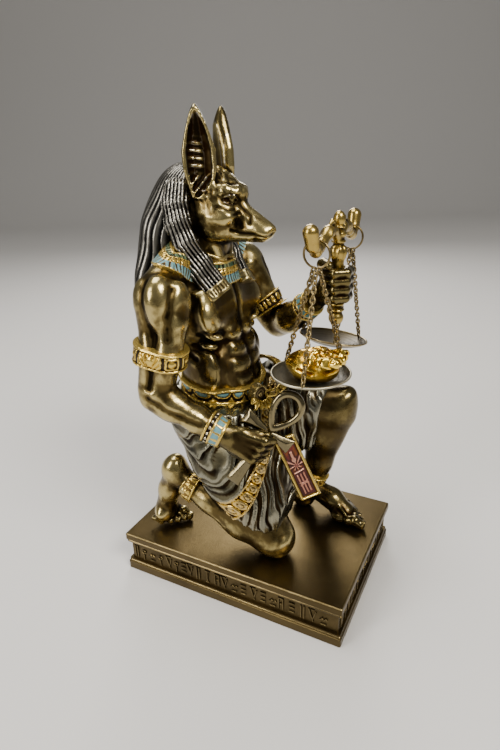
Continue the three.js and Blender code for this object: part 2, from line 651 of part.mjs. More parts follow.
// Collapses the cheapest edges until the wanted number of faces is left, keeping the surface closed
function thin({ points, faces }, wanted, weight = () => 1) {
  const at = [];
  for (let i = 0; i < points.length; i += 3) at.push([points[i], points[i + 1], points[i + 2]]);
  const quad = at.map(() => new Float64Array(10));
  const fans = at.map(() => new Set());
  const tri = [];
  for (let i = 0; i < faces.length; i += 3) {
    const t = [faces[i], faces[i + 1], faces[i + 2]];
    const n = normalOf(...t.map((v) => at[v]));
    const area = Math.hypot(...n);
    const unit = area > 1e-12 ? n.map((v) => v / area) : [0, 0, 0];
    const w = area * weight(...at[t[0]]);
    for (const v of t) {
      addPlane(quad[v], unit, -dot(unit, at[t[0]]), w);
      fans[v].add(tri.length);
    }
    tri.push(t);
  }
  const stamp = new Int32Array(at.length);
  const heap = new Heap();
  const offer = (a, b) => {
    const q = quad[a].map((v, i) => v + quad[b][i]);
    const half = mix(at[a], at[b], 0.5);
    const span = Math.hypot(...sub(at[a], at[b]));
    const p = lowest(q, half);
    heap.push([errorAt(q, p) + 2e-4 * span * span * span, a, b, stamp[a], stamp[b], p]);
  };
  const ring = (v) => {
    const out = new Set([...fans[v]].flatMap((f) => tri[f]));
    out.delete(v);
    return out;
  };
  const shapeOf = (a, b, c) => {
    const n = normalOf(a, b, c);
    const size = Math.hypot(...n);
    const longest = Math.max(Math.hypot(...sub(a, b)), Math.hypot(...sub(b, c)), Math.hypot(...sub(c, a)));
    return { n, size, full: size / (longest * longest + 1e-12) };
  };
  const turns = (v, other, p) => {
    for (const f of fans[v]) {
      const t = tri[f];
      if (t.includes(other)) continue;
      const before = shapeOf(...t.map((u) => at[u]));
      const after = shapeOf(...t.map((u) => (u === v ? p : at[u])));
      if (before.full > 0.02 && dot(before.n, after.n) < 0.2 * before.size * after.size) return true;
      if (after.full < 0.012 && after.full < before.full) return true;
    }
    return false;
  };
  let left = tri.length;
  let before = Infinity;
  while (left > wanted) {
    if (!heap.items.length) {
      if (left > before * 0.995) break;
      before = left;
      at.forEach((_, v) => [...ring(v)].filter((u) => u > v).forEach((u) => offer(v, u)));
    }
    const [, a, b, sa, sb, p] = heap.pop();
    if (stamp[a] !== sa || stamp[b] !== sb) continue;
    const [ra, rb] = [ring(a), ring(b)];
    const shared = [...ra].filter((u) => rb.has(u)).length;
    if (shared !== 2 || turns(a, b, p) || turns(b, a, p)) continue;
    at[a] = p;
    quad[b].forEach((v, i) => (quad[a][i] += v));
    for (const f of [...fans[b]]) {
      if (tri[f].includes(a)) {
        for (const u of tri[f]) fans[u].delete(f);
        tri[f] = null;
        left--;
      } else {
        tri[f] = tri[f].map((u) => (u === b ? a : u));
        fans[a].add(f);
      }
    }
    fans[b].clear();
    stamp[b] = -1;
    stamp[a]++;
    for (const u of ring(a)) offer(a, u);
  }
  const kept = tri.filter(Boolean);
  const id = new Map();
  const out = [];
  for (const v of kept.flat()) {
    if (id.has(v)) continue;
    id.set(v, id.size);
    out.push(...at[v]);
  }
  return geometryOf(out, kept.flat().map((v) => id.get(v)));
}

function geometryOf(points, faces) {
  const g = new THREE.BufferGeometry();
  g.setAttribute('position', new THREE.Float32BufferAttribute(points, 3));
  g.setIndex(faces);
  return g;
}

function faceted(shape, cell, wanted, weight) {
  const margin = cell * 2;
  const lo = shape.lo || shape.c.map((v) => v - shape.r);
  const hi = shape.hi || shape.c.map((v) => v + shape.r);
  const skin = surface(shape, lo.map((v) => v - margin), hi.map((v) => v + margin), cell);
  return thin(skin, wanted, weight);
}

// Closed solid from rings of points, each ring the same count, bottom to top
function lofted(rings) {
  const n = rings[0].length;
  const points = rings.flat(2);
  const faces = [];
  rings.slice(1).forEach((_, i) => {
    for (let j = 0; j < n; j++) {
      const [a, b, c, d] = [i * n + j, i * n + ((j + 1) % n), (i + 1) * n + ((j + 1) % n), (i + 1) * n + j];
      faces.push(a, b, c, a, c, d);
    }
  });
  for (let j = 1; j < n - 1; j++) {
    faces.push(0, j + 1, j);
    const top = (rings.length - 1) * n;
    faces.push(top, top + j, top + j + 1);
  }
  return geometryOf(points, faces);
}

// Plinth: a foot, a recessed band for the inscription between two beads, and a top slab
function plinthShape() {
  const { length, width, height, foot, ledge, recess, bead } = plinth;
  const steps = [
    [0, 0], [foot - bead, 0], [foot - bead, 0.5], [foot + bead, 0.5], [foot + bead, recess],
    [ledge - bead, recess], [ledge - bead, 0.5], [ledge + 0.6, 0.5], [ledge + 1.1, 0],
    [height - 0.8, 0], [height, 0.8],
  ];
  const rings = steps.map(([z, inset]) => {
    const [x, y] = [width / 2 - inset, length / 2 - inset];
    return [[-x, -y, z], [x, -y, z], [x, y, z], [-x, y, z]];
  });
  return lofted(rings);
}

// Scales beam: handle with a pommel, two lobes, a bud, and arms that arch and end in a ball
function beamShape() {
  const { x, y, radius, low, high, pommel } = grip;
  const centre = (z, dx = 0, dy = 0) => [x + dx, y + dy, z];
  const handle = blend(
    0.4,
    barrel(centre(low), centre(high), radius, radius),
    oval(centre(low), [pommel, pommel, pommel]),
    ...[4.4, 7.6].map((up) => oval(centre(low + up), [4.2, 4.2, 1.3])),
  );
  const lobes = [-1, 1].map((s) => oval(centre(188.6, 0, 2.3 * s), [3.4, 2.7, 3.9], [8 * s, 0, 0]));
  const knot = oval(centre(198), [4, 4, 2.2]);
  const stem = [cone(centre(190), centre(198), 2.6, 2.8), oval(centre(budZ), [3, 3, 4]), knot];
  const arms = [-1, 1].map((s) => {
    const at = (dx, z) => [x + s * dx, y + dx * 0.07, z];
    const { archX, archZ, dipX, dipZ, endX, endZ, ball } = arm;
    const fall = at(archX + 6.5, archZ - 5);
    const rise = [at(2, 196), at(archX - 5.5, archZ - 1.5), at(archX, archZ - 1.5), fall];
    const arch = limb(1.5, rise, [2.3, 2.4, 2.8, 2.5]);
    const bend = [fall, at(dipX - 3.5, dipZ + 1), at(dipX, dipZ), at(dipX + 3.4, dipZ + 3), at(endX, endZ)];
    return blend(1, arch, limb(1, bend, [2.5, 2.6, 2.9, 3.2, ball]));
  });
  return blend(1, handle, ...lobes, ...stem, ...arms);
}

function ringShape() {
  const g = new THREE.TorusGeometry(ring.radius, ring.wire, 5, 18);
  g.deleteAttribute('normal');
  g.deleteAttribute('uv');
  return mergeVertices(g);
}

// One strand of links: a bar whose flat section turns a quarter at each link
function strand(from, to) {
  const a = new THREE.Vector3(...from);
  const run = new THREE.Vector3(...to).sub(a);
  const count = Math.round(run.length() / link.pitch);
  const w = run.clone().normalize();
  const u = new THREE.Vector3(0, 1, 0).cross(w).normalize();
  const v = new THREE.Vector3().crossVectors(w, u);
  const rings = [...Array(count + 1).keys()].map((i) => {
    const c = a.clone().addScaledVector(run, i / count);
    const [p, q] = i % 2 ? [link.width, link.thin] : [link.thin, link.width];
    const corner = ([m, n]) => c.clone().addScaledVector(u, m).addScaledVector(v, n).toArray();
    return [[p, 0], [0, q], [-p, 0], [0, -q]].map(corner);
  });
  return lofted(rings);
}

// Shallow dish with a rolled rim, its rim's plane at the origin
function panShape() {
  const { radius, depth, wall, lip } = pan;
  const bowl = (t, drop) => [radius * t, -depth * (1 - t * t) - drop];
  const outer = [0, 0.4, 0.75, 0.93].map((t) => bowl(t, wall));
  const rim = [[radius + 0.35, -lip], [radius + 0.5, 0.1], [radius - 0.3, 0.25]];
  const inner = [0.94, 0.75, 0.4, 0].map((t) => bowl(t, 0));
  const profile = [...outer, ...rim, ...inner].map((p) => new THREE.Vector2(...p));
  const g = new THREE.LatheGeometry(profile, detail.turn);
  g.deleteAttribute('normal');
  g.deleteAttribute('uv');
  return mergeVertices(g, 1e-4).rotateX(Math.PI / 2);
}

// Heart resting in the near pan, its point to the back and its vessels to the front
function heartShape() {
  const c = pan.near;
  const at = (x, y, z) => [c[0] + x, c[1] + y, c[2] + z];
  const body = blend(
    5,
    oval(at(-0.5, -2.5, 3.6), [10.5, 12, 7.2], [6, 0, 0]),
    cone(at(-0.5, 2, 3.4), at(-0.5, 9, 4), 7.5, 3.8),
  );
  const vessels = [-6, 0, 6].map((x, i) => cone(at(x - 1, -8, 7), at(x - 1, -14.5 - (i % 2), 9.4), 3.4, 3));
  const fringe = oval(at(0, -6, 8.6), [9, 8.5, 3.6], [14, 0, 0]);
  const groove = limb(1, [at(-12, -12, 4.6), at(-11.5, -4, 3.6), at(-10, 3, 4.8)], [1.1, 1.2, 0.6]);
  const whole = carve(0.8, blend(1.5, body, fringe, ...vessels), groove);
  const floor = (x, y, z) => {
    const out = Math.min(Math.hypot(x - c[0], y - c[1]) / pan.radius, 1);
    return c[2] - pan.depth * (1 - out * out) + gap + 0.2 - z;
  };
  return { ...whole, d: (x, y, z) => Math.max(whole.d(x, y, z), floor(x, y, z)) };
}

// Materials
const bronze = [0x7a5c33, 0.42, 0.9];
const gold = [0xd8a534, 0.32, 1];
const brass = [0xa08a5e, 0.4, 0.9];
const dark = [0x4d4636, 0.5, 0.85];

const part = new THREE.Group();
part.name = 'jackal_figurine';

function piece(name, geometry, [colour, roughness, metalness], at = [0, 0, 0], turn = [0, 0, 0]) {
  const material = new THREE.MeshStandardMaterial({ color: colour, roughness, metalness });
  const mesh = new THREE.Mesh(geometry, material);
  mesh.name = name;
  mesh.position.set(...at);
  mesh.rotation.set(...turn.map((t) => t * rad));
  part.add(mesh);
}

const beam = beamShape();
const whole = figureShape();
// The figure, cleared round the handle it grips
const cleared = {
  lo: [-66, -62, plinth.height],
  hi: [62, 66, 260],
  d: (x, y, z) => Math.max(whole.d(x, y, z), gap + 0.35 - beam.d(x, y, z)),
};
// Faces count for more on the head and on the hand that holds the scales
const finer = (x, y, z) => {
  if (z > 194 && y < 34) return 6;
  return Math.hypot(x - grip.x, y - grip.y, z - 173) < 16 ? 4 : 1;
};

piece('plinth', plinthShape(), bronze);
const body = solidOf(faceted(cleared, ...detail.figure, finer));
const casting = body.add(solidOf(ankhSolid())).add(solidOf(pendantSolid()));
piece('figure', geometryFrom(casting), bronze);
piece('scale_beam', faceted(beam, ...detail.beam), gold);
piece('ring_near', ringShape(), brass, ring.dropNear, [0, 90, 0]);
piece('ring_far', ringShape(), brass, ring.dropFar, [0, 90, 0]);
piece('pan_near', panShape(), dark, pan.near);
piece('pan_far', panShape(), dark, panFar.at, panFar.turn);
piece('heart', faceted(heartShape(), ...detail.heart), gold);

// Three strands from under a ring to the rim of a pan, at the given angles round it
function hang(name, from, centre, turn, degrees) {
  const tilt = new THREE.Euler(...turn.map((t) => t * rad));
  const under = from[2] - ring.radius - ring.wire - gap;
  degrees.forEach((deg, i) => {
    const out = new THREE.Vector3(Math.cos(deg * rad), Math.sin(deg * rad), 0);
    const rim = out.clone().multiplyScalar(pan.radius - 0.2).applyEuler(tilt);
    rim.add(new THREE.Vector3(...centre));
    const foot = [rim.x, rim.y, rim.z + pan.clear];
    const top = [from[0] + link.spread * out.x, from[1] + link.spread * out.y, under];
    piece(name + '_' + (i + 1), strand(foot, top), brass);
  });
}

hang('chain_near', ring.dropNear, pan.near, [0, 0, 0], [62, 190, 322]);
hang('chain_far', ring.dropFar, panFar.at, panFar.turn, [325, 88, 200]);

export default part;
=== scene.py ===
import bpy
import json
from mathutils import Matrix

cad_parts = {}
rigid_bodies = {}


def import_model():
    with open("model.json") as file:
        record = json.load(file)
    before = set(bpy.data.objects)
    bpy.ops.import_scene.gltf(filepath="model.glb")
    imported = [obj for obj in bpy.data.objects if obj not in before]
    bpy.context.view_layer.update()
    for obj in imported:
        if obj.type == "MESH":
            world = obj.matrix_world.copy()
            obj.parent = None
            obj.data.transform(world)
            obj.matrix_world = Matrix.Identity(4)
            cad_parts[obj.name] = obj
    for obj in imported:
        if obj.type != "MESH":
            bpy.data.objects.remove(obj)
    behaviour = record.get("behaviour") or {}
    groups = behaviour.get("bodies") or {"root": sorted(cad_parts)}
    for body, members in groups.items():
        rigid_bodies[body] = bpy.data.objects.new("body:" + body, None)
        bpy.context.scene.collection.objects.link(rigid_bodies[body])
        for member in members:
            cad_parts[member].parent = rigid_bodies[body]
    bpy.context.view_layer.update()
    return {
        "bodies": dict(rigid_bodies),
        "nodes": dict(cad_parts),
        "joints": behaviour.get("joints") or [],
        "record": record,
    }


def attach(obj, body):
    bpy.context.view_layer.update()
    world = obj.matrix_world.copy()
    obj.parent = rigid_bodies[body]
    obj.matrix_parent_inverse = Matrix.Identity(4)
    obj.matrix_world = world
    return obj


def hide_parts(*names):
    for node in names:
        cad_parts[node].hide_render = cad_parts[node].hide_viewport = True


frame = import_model()

import json
import math
import random
import bmesh
import bpy
import numpy as np
import openvdb
from mathutils import Euler, Matrix, Vector


def arr(p):
    return np.asarray(p, float)


# Sizes in millimetres, in the row frame: +Z up, the figure faces -Y and its right side is -X
MM = 0.001
GAP = 0.3
SIDES = (-1, 1)
PLINTH = dict(length=136, width=96, height=26, foot=6.3, ledge=21, recess=2.2, bead=1.1)
STAND = PLINTH["height"] + GAP
ANKLE_R, HEEL_R, BALL_R = arr([(-28, 29.5, 58), (-28, 41, 71), (-27, 51.5, 36)])
HIP_R, KNEE_R = arr([(-14, 22, 98), (-24, -19, 38)])
HIP_L, KNEE_L, ANKLE_L = arr([(14, 22, 99), (24, -38, 100), (24, -24.5, 45)])
SHOULDER_R, ELBOW_R, WRIST_R = arr([(-43, 27, 172), (-48.5, 34, 124), (-42.5, 3, 109.5)])
SHOULDER_L, ELBOW_L, WRIST_L = arr([(40, 28, 172), (42, 6, 138), (23, -24, 161)])
NECK, SKULL, EAR_TIP = arr([(0, 29, 186), (0, 20, 215), (12, 22.5, 257.2)])
GRIP = dict(x=16, y=-38.5, radius=3, low=155.4, high=187, pommel=3.9)
ARM = dict(arch_x=13, arch_z=202, dip_x=26.8, dip_z=194, end_x=32.5, end_z=203, ball=3.7)
BUD_Z = 205
RING_R, RING_WIRE = 6.3, 0.55
DROP_NEAR, DROP_FAR = arr([(-9.7, -36.7, 192.5), (41.7, -37, 192.6)])
PAN_R, PAN_DEPTH, PAN_WALL = 19.5, 4.6, 1.1
PAN_NEAR, PAN_FAR = arr([(-13, -36, 135.5), (43.6, -28.4, 135)])
LEVEL, FAR_TURN = (0, 0), (5.6, 9)
LINK_LENGTH, LINK_HALF, LINK_WIRE = 2.3, 1.05, 0.48
PENDANT_TOP, PENDANT_FOOT = arr([(-9, -19, 92), (-8.5, -35.5, 58)])
PENDANT_ACROSS, PENDANT_WIDE, PENDANT_THICK = (0.72, -0.55, 0.42), 11.8, 2.6
CROSS = arr((-30.5, -21.2, 107.3))
LOOP, LOOP_HALF, LOOP_WIDE, SHAFT, BAR, FLAT = 25, 10.4, 4.4, 34, 15, 4.2

# Colours, linear: each metal's low, middle and rubbed tones
BRONZE = ((0.009, 0.006, 0.0022), (0.104, 0.073, 0.025), (0.58, 0.47, 0.20))
GOLD = ((0.06, 0.03, 0.004), (0.56, 0.345, 0.036), (0.95, 0.70, 0.15))
PEWTER = ((0.012, 0.010, 0.006), (0.098, 0.087, 0.058), (0.42, 0.385, 0.27))
HAIR = ((0.002, 0.002, 0.002), (0.026, 0.025, 0.024), (0.40, 0.38, 0.33))
# Paint. Its fourth value: 0 bare metal, up to 0.25 a darker tone (painted shade on the belly, hands and far
# leg), 0.3 to 0.35 tinted metal, 0.7 and up enamel
BARE = (0.5, 0.5, 0.5, 0.0)
GILDING = (*GOLD[1], 0.35)
GILT, BLUE, DARK, BROWN, GREEN, PEARL = range(6)
KIND_PAINTS = arr([GILDING, (0.115, 0.30, 0.345, 1.0), (0.045, 0.03, 0.014, 0.35), (0.22, 0.135, 0.03, 0.35),
                   (0.05, 0.11, 0.06, 0.8), (0.50, 0.46, 0.36, 0.35)])


# Points and directions
def norm(q):
    return np.sqrt((q * q).sum(1))


def mix(a, b, t):
    return arr(a) + (arr(b) - arr(a)) * t


def beside(a, b, *stations):
    """Points at the share t of the way from a to b, each moved by (x, y, z)."""
    return [mix(a, b, t) + (x, y, z) for t, x, y, z in stations]


def side(s, points):
    """The points on the left for s = 1 and mirrored to the right for s = -1."""
    return arr(points) * (s, 1, 1)


def unit(v):
    v = arr(v)
    return v / np.linalg.norm(v)


def square_to(n, v):
    """The direction of v, made square to n."""
    v = arr(v)
    return unit(v - n * (v @ n))


def ring_turns(n):
    return np.arange(n) / n * 2 * math.pi


def between(v, low, high):
    return (v > low) & (v < high)


# Distance shapes over arrays of points, each with a sphere c, r that holds it
def soft(a, b, k):
    h = np.maximum(k - np.abs(a - b), 0) / k
    return np.minimum(a, b) - h * h * k * 0.25


def rounded(a, b, r):
    """Inside both a and b, with an edge of radius r."""
    a, b = a + r, b + r
    return np.hypot(np.maximum(a, 0), np.maximum(b, 0)) + np.minimum(np.maximum(a, b), 0) - r


class Shape:
    def __init__(self, d, c, r):
        self.d, self.c, self.r = d, arr(c), float(r)


def oval(c, radii, turn=(0, 0, 0)):
    c, radii = arr(c), arr(radii)
    axes = np.array(Euler([math.radians(t) for t in turn], "XYZ").to_matrix())

    def d(p):
        q = ((p - c) @ axes) / radii
        k0 = norm(q)
        k1 = norm(q / radii)
        return np.where(k1 < 1e-9, -radii.min(), k0 * (k0 - 1) / np.maximum(k1, 1e-9))
    return Shape(d, c, radii.max())


def along_out(p, a, u):
    """How far each point lies along the axis from a, and out from it."""
    q = p - a
    along = q @ u
    return along, np.sqrt(np.maximum((q * q).sum(1) - along * along, 0))


def cone(a, b, ra, rb):
    """A ball of radius ra swept from a to b, where its radius is rb."""
    a, b = arr(a), arr(b)
    length = np.linalg.norm(b - a)

    def d(p):
        along, out = along_out(p, a, (b - a) / length)
        t = np.clip((along - out * (ra - rb) / length) / length, 0, 1)
        return np.hypot(along - t * length, out) - (ra + (rb - ra) * t)
    return Shape(d, (a + b) / 2, length / 2 + max(ra, rb))


def barrel(a, b, ra, rb):
    """As a cone, with flat ends at a and b."""
    a, b = arr(a), arr(b)
    length = np.linalg.norm(b - a)

    def d(p):
        along, out = along_out(p, a, (b - a) / length)
        return np.maximum(np.maximum(-along, along - length), out - (ra + (rb - ra) * along / length))
    return Shape(d, (a + b) / 2, math.hypot(length / 2, max(ra, rb)))


def limb(k, points, radii):
    ends = list(zip(points, radii))
    return blend(k, *[cone(a, b, ra, rb) for (a, ra), (b, rb) in zip(ends[:-1], ends[1:])])


def blend(k, *shapes):
    lo = np.min([s.c - s.r for s in shapes], axis=0)
    hi = np.max([s.c + s.r for s in shapes], axis=0)
    c = (lo + hi) / 2

    def d(p):
        best = np.full(len(p), 1e6)
        for s in shapes:
            near = norm(p - s.c) - s.r - k < best
            if near.any():
                best[near] = soft(best[near], s.d(p[near]), k)
        return best
    return Shape(d, c, max(np.linalg.norm(s.c - c) + s.r for s in shapes))


def carve(k, base, *tools):
    def d(p):
        v = base.d(p)
        for s in tools:
            near = norm(p - s.c) - s.r <= k - v
            if near.any():
                v[near] = -soft(-v[near], s.d(p[near]), k)
        return v
    return Shape(d, base.c, base.r)


def clip(base, inside):
    return Shape(lambda p: np.maximum(base.d(p), inside(p)), base.c, base.r)


def lift(base, amount):
    """The base swollen by amount(p)."""
    def d(p):
        v = base.d(p)
        near = np.abs(v) < 4
        v[near] -= amount(p[near])
        return v
    return Shape(d, base.c, base.r)


def slope_at(base, p, step):
    return np.stack([base.d(p + v) - base.d(p - v) for v in np.eye(3) * step], 1)


def on_surface(base, path):
    """The path in short steps, each point moved onto the base's surface."""
    parts = [mix(a, b, np.arange(5)[:, None] / 5) for a, b in zip(path[:-1], path[1:])]
    p = np.concatenate(parts + [arr(path[-1])[None]])
    for _ in range(4):
        d = base.d(p)
        slope = np.stack([(base.d(p + step) - d) / 0.1 for step in np.eye(3) * 0.1], 1)
        p = p - slope * (d / np.maximum((slope * slope).sum(1), 0.2))[:, None]
    return p


def nearest(p, path):
    """Each point's distance from the path, its nearest part, the share of that part passed, and the offset."""
    n = len(p)
    best, part, share, offset = np.full(n, 1e9), np.zeros(n, int), np.zeros(n), np.zeros((n, 3))
    for i, (a, b) in enumerate(zip(path[:-1], path[1:])):
        run = b - a
        t = np.clip((p - a) @ run / (run @ run), 0, 1)
        q = p - a - t[:, None] * run
        dist = norm(q)
        near = dist < best
        best[near], part[near], share[near], offset[near] = dist[near], i, t[near], q[near]
    return best, part, share, offset


def etch(base, lines):
    """The base sunk in a soft groove along each path, by depth and width. A depth below 0 raises it."""
    lines = [(on_surface(base, path), depth, width) for path, depth, width in lines]

    def amount(p):
        total = np.zeros(len(p))
        for path, depth, width in lines:
            c = path.mean(0)
            near = norm(p - c) < norm(path - c).max() + 3 * width
            if near.any():
                total[near] -= depth * np.exp(-(nearest(p[near], path)[0] / width) ** 2)
        return total
    return lift(base, amount)


def ribbon_frame(base, points, toward):
    """A path on the base's surface, with each part's direction to the side where the point toward lies."""
    path = on_surface(base, points)
    mid = (path[:-1] + path[1:]) / 2
    sides = np.cross(path[1:] - path[:-1], slope_at(base, mid, 0.2))
    sides *= np.sign(((arr(toward) - mid) * sides).sum(1))[:, None]
    return path, sides


def ribbon_place(p, frame):
    """Distance from the path, plus towards its marked side, and the share of the path's length passed."""
    path, sides = frame
    dist, part, share, offset = nearest(p, path)
    lengths = norm(path[1:] - path[:-1])
    passed = np.concatenate([[0], np.cumsum(lengths)])
    away = dist * np.sign((offset * sides[part]).sum(1))
    return away, (passed[part] + share * lengths[part]) / passed[-1]


def ribbon(base, frame, low, high, thick, relief, c, r):
    """A thin raised layer on the base, from low to high beside the path."""
    def d(p):
        v = base.d(p)
        v = np.maximum(-0.9 - v, v - thick - 0.6)
        near = v < 2
        away, along = ribbon_place(p[near], frame)
        shell = np.maximum(v[near], v[near] + 0.6 - relief(away, along)[0])
        v[near] = rounded(shell, np.maximum(low - away, away - high), 0.2)
        return v
    return Shape(d, c, r)


def noise(p, size, seed=0):
    """Smooth noise in -1..1 from sines, the same each run."""
    rng = np.random.RandomState(seed)
    total = 0
    for octave in range(3):
        for _ in range(3):
            way = rng.normal(size=3)
            way *= (1.7 ** octave) / size / np.linalg.norm(way)
            total = total + np.sin((p @ way) * 2 * math.pi + rng.uniform(0, 6.28)) / (1.5 ** octave)
    return total / 4.0


# Body
def torso():
    mass = blend(
        7,
        oval((0, 28, 159), (28, 18.5, 26)),
        oval((0, 22.5, 127), (26, 20.5, 21)),
        oval((0, 23, 103), (26.5, 21, 18)),
        *[oval(side(s, (22, 35, 158)), (10, 13, 24), (0, 0, -15 * s)) for s in SIDES],
        *[cone(*side(s, [(5, 34, 192), (37, 32, 180)]), 9, 8) for s in SIDES],
    )
    chest = [oval(side(s, (13.8, 19, 161)), (17, 7.4, 13.5), (-10, 0, -22 * s)) for s in SIDES]
    belly = [oval(side(s, (6.4, 12.6 - 1.2 * i, z)), (7.6, 5.2, 5.4))
             for i, z in enumerate((148.5, 139.5, 130.5)) for s in SIDES]
    low = oval((0, 9, 118.5), (15, 8, 10))
    flank = [oval(side(s, (21.5, 20, 131)), (5, 10, 13), (0, 0, 20 * s)) for s in SIDES]
    ribs = [oval((s * (20.5 + 0.5 * i), 13.5 + 3 * i, 150 - 5.4 * i), (4.6, 4.6, 2.5), (0, -12 * s, 25 * s))
            for s in SIDES for i in range(4)]
    return blend(2.2, blend(5, mass, *chest, *belly, low, *flank), *ribs)


def torso_lines():
    """The middle line of the chest and belly, the edge of the belly and the folds between its muscles."""
    middle = [(0, 10, 173), (0, 9.6, 160), (0, 7, 148), (0, 5.4, 136), (0, 4.4, 124), (0, 2, 118)]
    lines = [(arr(middle), 1.3, 1.9)]
    for s in SIDES:
        lines.append((side(s, [(15, 9.5, 149), (15.6, 9, 138), (15.4, 8, 127), (11.5, 5, 117)]), 0.9, 2.2))
        for i, z in enumerate((144, 135, 126)):
            fold = [(1, 7.5 - 1.4 * i, z), (7, 7.4 - 1.4 * i, z - 0.3), (12.5, 10 - 1.4 * i, z + 1.6)]
            lines.append((side(s, fold), 1.0, 1.7))
        lines.append((side(s, [(2, 11, 150.6), (13, 10.4, 148.8), (25, 15, 152.5)]), 0.9, 2.0))
        lines.append((side(s, [(4, 13, 176), (16, 12, 177), (29, 15, 179)]), -0.7, 2.2))
        for i in range(3):
            rib = [(18.5 + i, 11.5 + 3.2 * i, 146.6 - 5.6 * i), (25.5 + 0.5 * i, 20 + 3 * i, 151 - 5.6 * i)]
            lines.append((side(s, rib), 0.8, 1.3))
    return lines


def arm_lines():
    """Grooves between the heads of the shoulder and upper arm muscles, near and far."""
    s, e, w = SHOULDER_R, ELBOW_R, WRIST_R
    near = [
        (s + [(-4, -10, 9), (-8, -8, -4), (-6, -6, -15)], 1.3, 2.0),
        (s + [(-6, 6, 12), (-10, 5, 0), (-8, 2, -14)], 0.9, 2.2),
        ([s + (-6, 0, -15), (-54, 29, 146), (-55, 31, 132)], 1.0, 1.9),
        (beside(e, w, (0.08, -7, 0, 4), (0.45, -7, 1, 3), (0.85, -5, 1, 3)), 0.8, 1.8),
        (beside(e, w, (0.15, -5, -2, -6), (0.6, -5, 0, -5)), 0.8, 1.8),
    ]
    s, e, w = SHOULDER_L, ELBOW_L, WRIST_L
    far = [([s + (2, -13, 6), s + (4, -14, -8), mix(s, e, 0.7) + (2, -9, 0)], 1.0, 2.0),
           (beside(e, w, (0.1, -3, -7, -2), (0.7, -3, -5, -2)), 0.8, 1.8)]
    return near + far


def arm_near():
    s, e, w = SHOULDER_R, ELBOW_R, WRIST_R
    heads = blend(
        3.6,
        oval(s + (-1.5, 0, -1), (9.6, 8.8, 14.8), (0, -6, 0)),
        oval(s + (3, -5.5, -3), (8, 6.2, 13.5), (8, 0, 0)),
        oval(s + (0, 8, -2), (8.4, 6.8, 13.4), (-10, 0, 0)),
    )
    front = limb(3, [s + (-1, -5, -10), (-47.8, 23.5, 147), (-48, 28.5, 130)], [7.2, 6.7, 6.2])
    back = limb(3, [s + (0, 7, -10), (-48, 32, 147), (-49, 35, 130)], [7.2, 6.7, 6.3])
    path = [e, *beside(e, w, (0.3, 0, 0, 1), (0.7, 0, 0, 0.6)), w, mix(e, w, 1.2)]
    ridge = cone(e + (-1, -4, 4), mix(e, w, 0.6) + (-1.5, 0, 3), 6, 4)
    return blend(3.5, heads, front, back, limb(4, path, [7.2, 8, 6.6, 5.6, 5.4]), ridge)


def arm_far():
    s, e, w = SHOULDER_L, ELBOW_L, WRIST_L
    return blend(
        3.5,
        oval(s, (12, 14, 15.5)),
        limb(3, [s + (2, -8, -6), e + (0, 3, 5)], [8.5, 7.4]),
        limb(3, [s + (2, 4, -8), e + (0, 4, 3)], [8, 7]),
        limb(4, [e, mix(e, w, 0.35), w], [7.2, 8.2, 5.4]),
    )


def hand_near():
    """A fist round the cross's shaft: back, knuckles, and fingers that pass round the front to the palm."""
    shaft = ankh_axes()[1]
    inward, right = arr([(0.813, 0.427, -0.396), (0.454, -0.891, -0.029)])
    bones, fingers = [], []
    for i, down in enumerate((5.4, 9.6, 13.7, 17.5)):
        path = [CROSS - shaft * down + a * inward + b * right
                for a, b in ((-4.7, 0.8), (-0.8, 5.3), (4.2, 2.8), (4.4, -2.6))]
        root, knuckle = WRIST_R + (1.5 - 0.3 * i, -5, 0.6 - 2.0 * i), path[0]
        r = 2.35 - 0.1 * i
        bones.append(cone(root, knuckle, 3.3, 2.5))
        bones.append(cone(root - 1.6 * inward, knuckle - 0.9 * inward, 0.9, 1.0))
        fingers.append(limb(0.8, path, [r + 0.1, r, r - 0.1, r - 0.3]))
        fingers.append(oval(knuckle - 0.5 * inward, (2.5, 2.5, 2.2)))
    palm = oval((-37.5, -7.5, 100.5), (4.6, 8.2, 8.4), (-24, 0, 0))
    palm = blend(3, palm, cone(WRIST_R, (-40, -4, 104.5), 5.4, 5.4))
    path = [(-41.5, -3, 110), (-38, -11, 108.6), (-34.6, -18, 107.2), (-32.4, -21.6, 106.8)]
    return blend(0.7, blend(1.6, palm, *bones), *fingers, limb(1.2, path, [3.0, 2.8, 2.3, 1.7]))


def hand_far():
    """A fist round the scales' handle."""
    palm = oval((20.5, -34, 171), (6.2, 6.4, 10), (0, 0, 20))
    fingers = []
    for i in range(4):
        reach = 6.2 - 0.15 * i
        turns = [math.radians(a) for a in (20, -50, -115, -175, -225)]
        path = [(reach * math.cos(a), reach * math.sin(a), 179.6 - 4.3 * i) for a in turns]
        path = arr(path) + (GRIP["x"], GRIP["y"], 0)
        fingers.append(limb(0.5, path, [2.6, 2.5, 2.4, 2.3, 2]))
        fingers.append(oval(path[1], (2.9, 2.9, 2.3)))
        fingers.append(oval(path[3], (2.6, 2.6, 2.25)))
    thumb = limb(1.2, [(21, -30, 178), (14, -31.5, 183), (9.8, -36, 183.4)], [3.6, 3, 2.4])
    return blend(0.9, blend(3, palm, cone(WRIST_L, (21, -31, 168), 5.4, 5.8)), *fingers, thumb)


def throat():
    core = limb(4, [(0, 25, 204), NECK], [12.5, 12])
    cords = [cone(*side(s, [(9, 20, 200), (3.5, 17.5, 183)]), 3, 2.6) for s in SIDES]
    return blend(2, core, *cords)


# Legs and feet. Each foot's toes: the big one's root and aim, the step across to the next, the tips' drop
TOES_L = (arr((15, -51, STAND + 3.8)), arr((0.5, -7.5, 0)), 3.9, 1.2)
TOES_R = (arr((-20.5, 48, 31.5)), arr((0, -8.5, -1.8)), -3.3, 0.5)


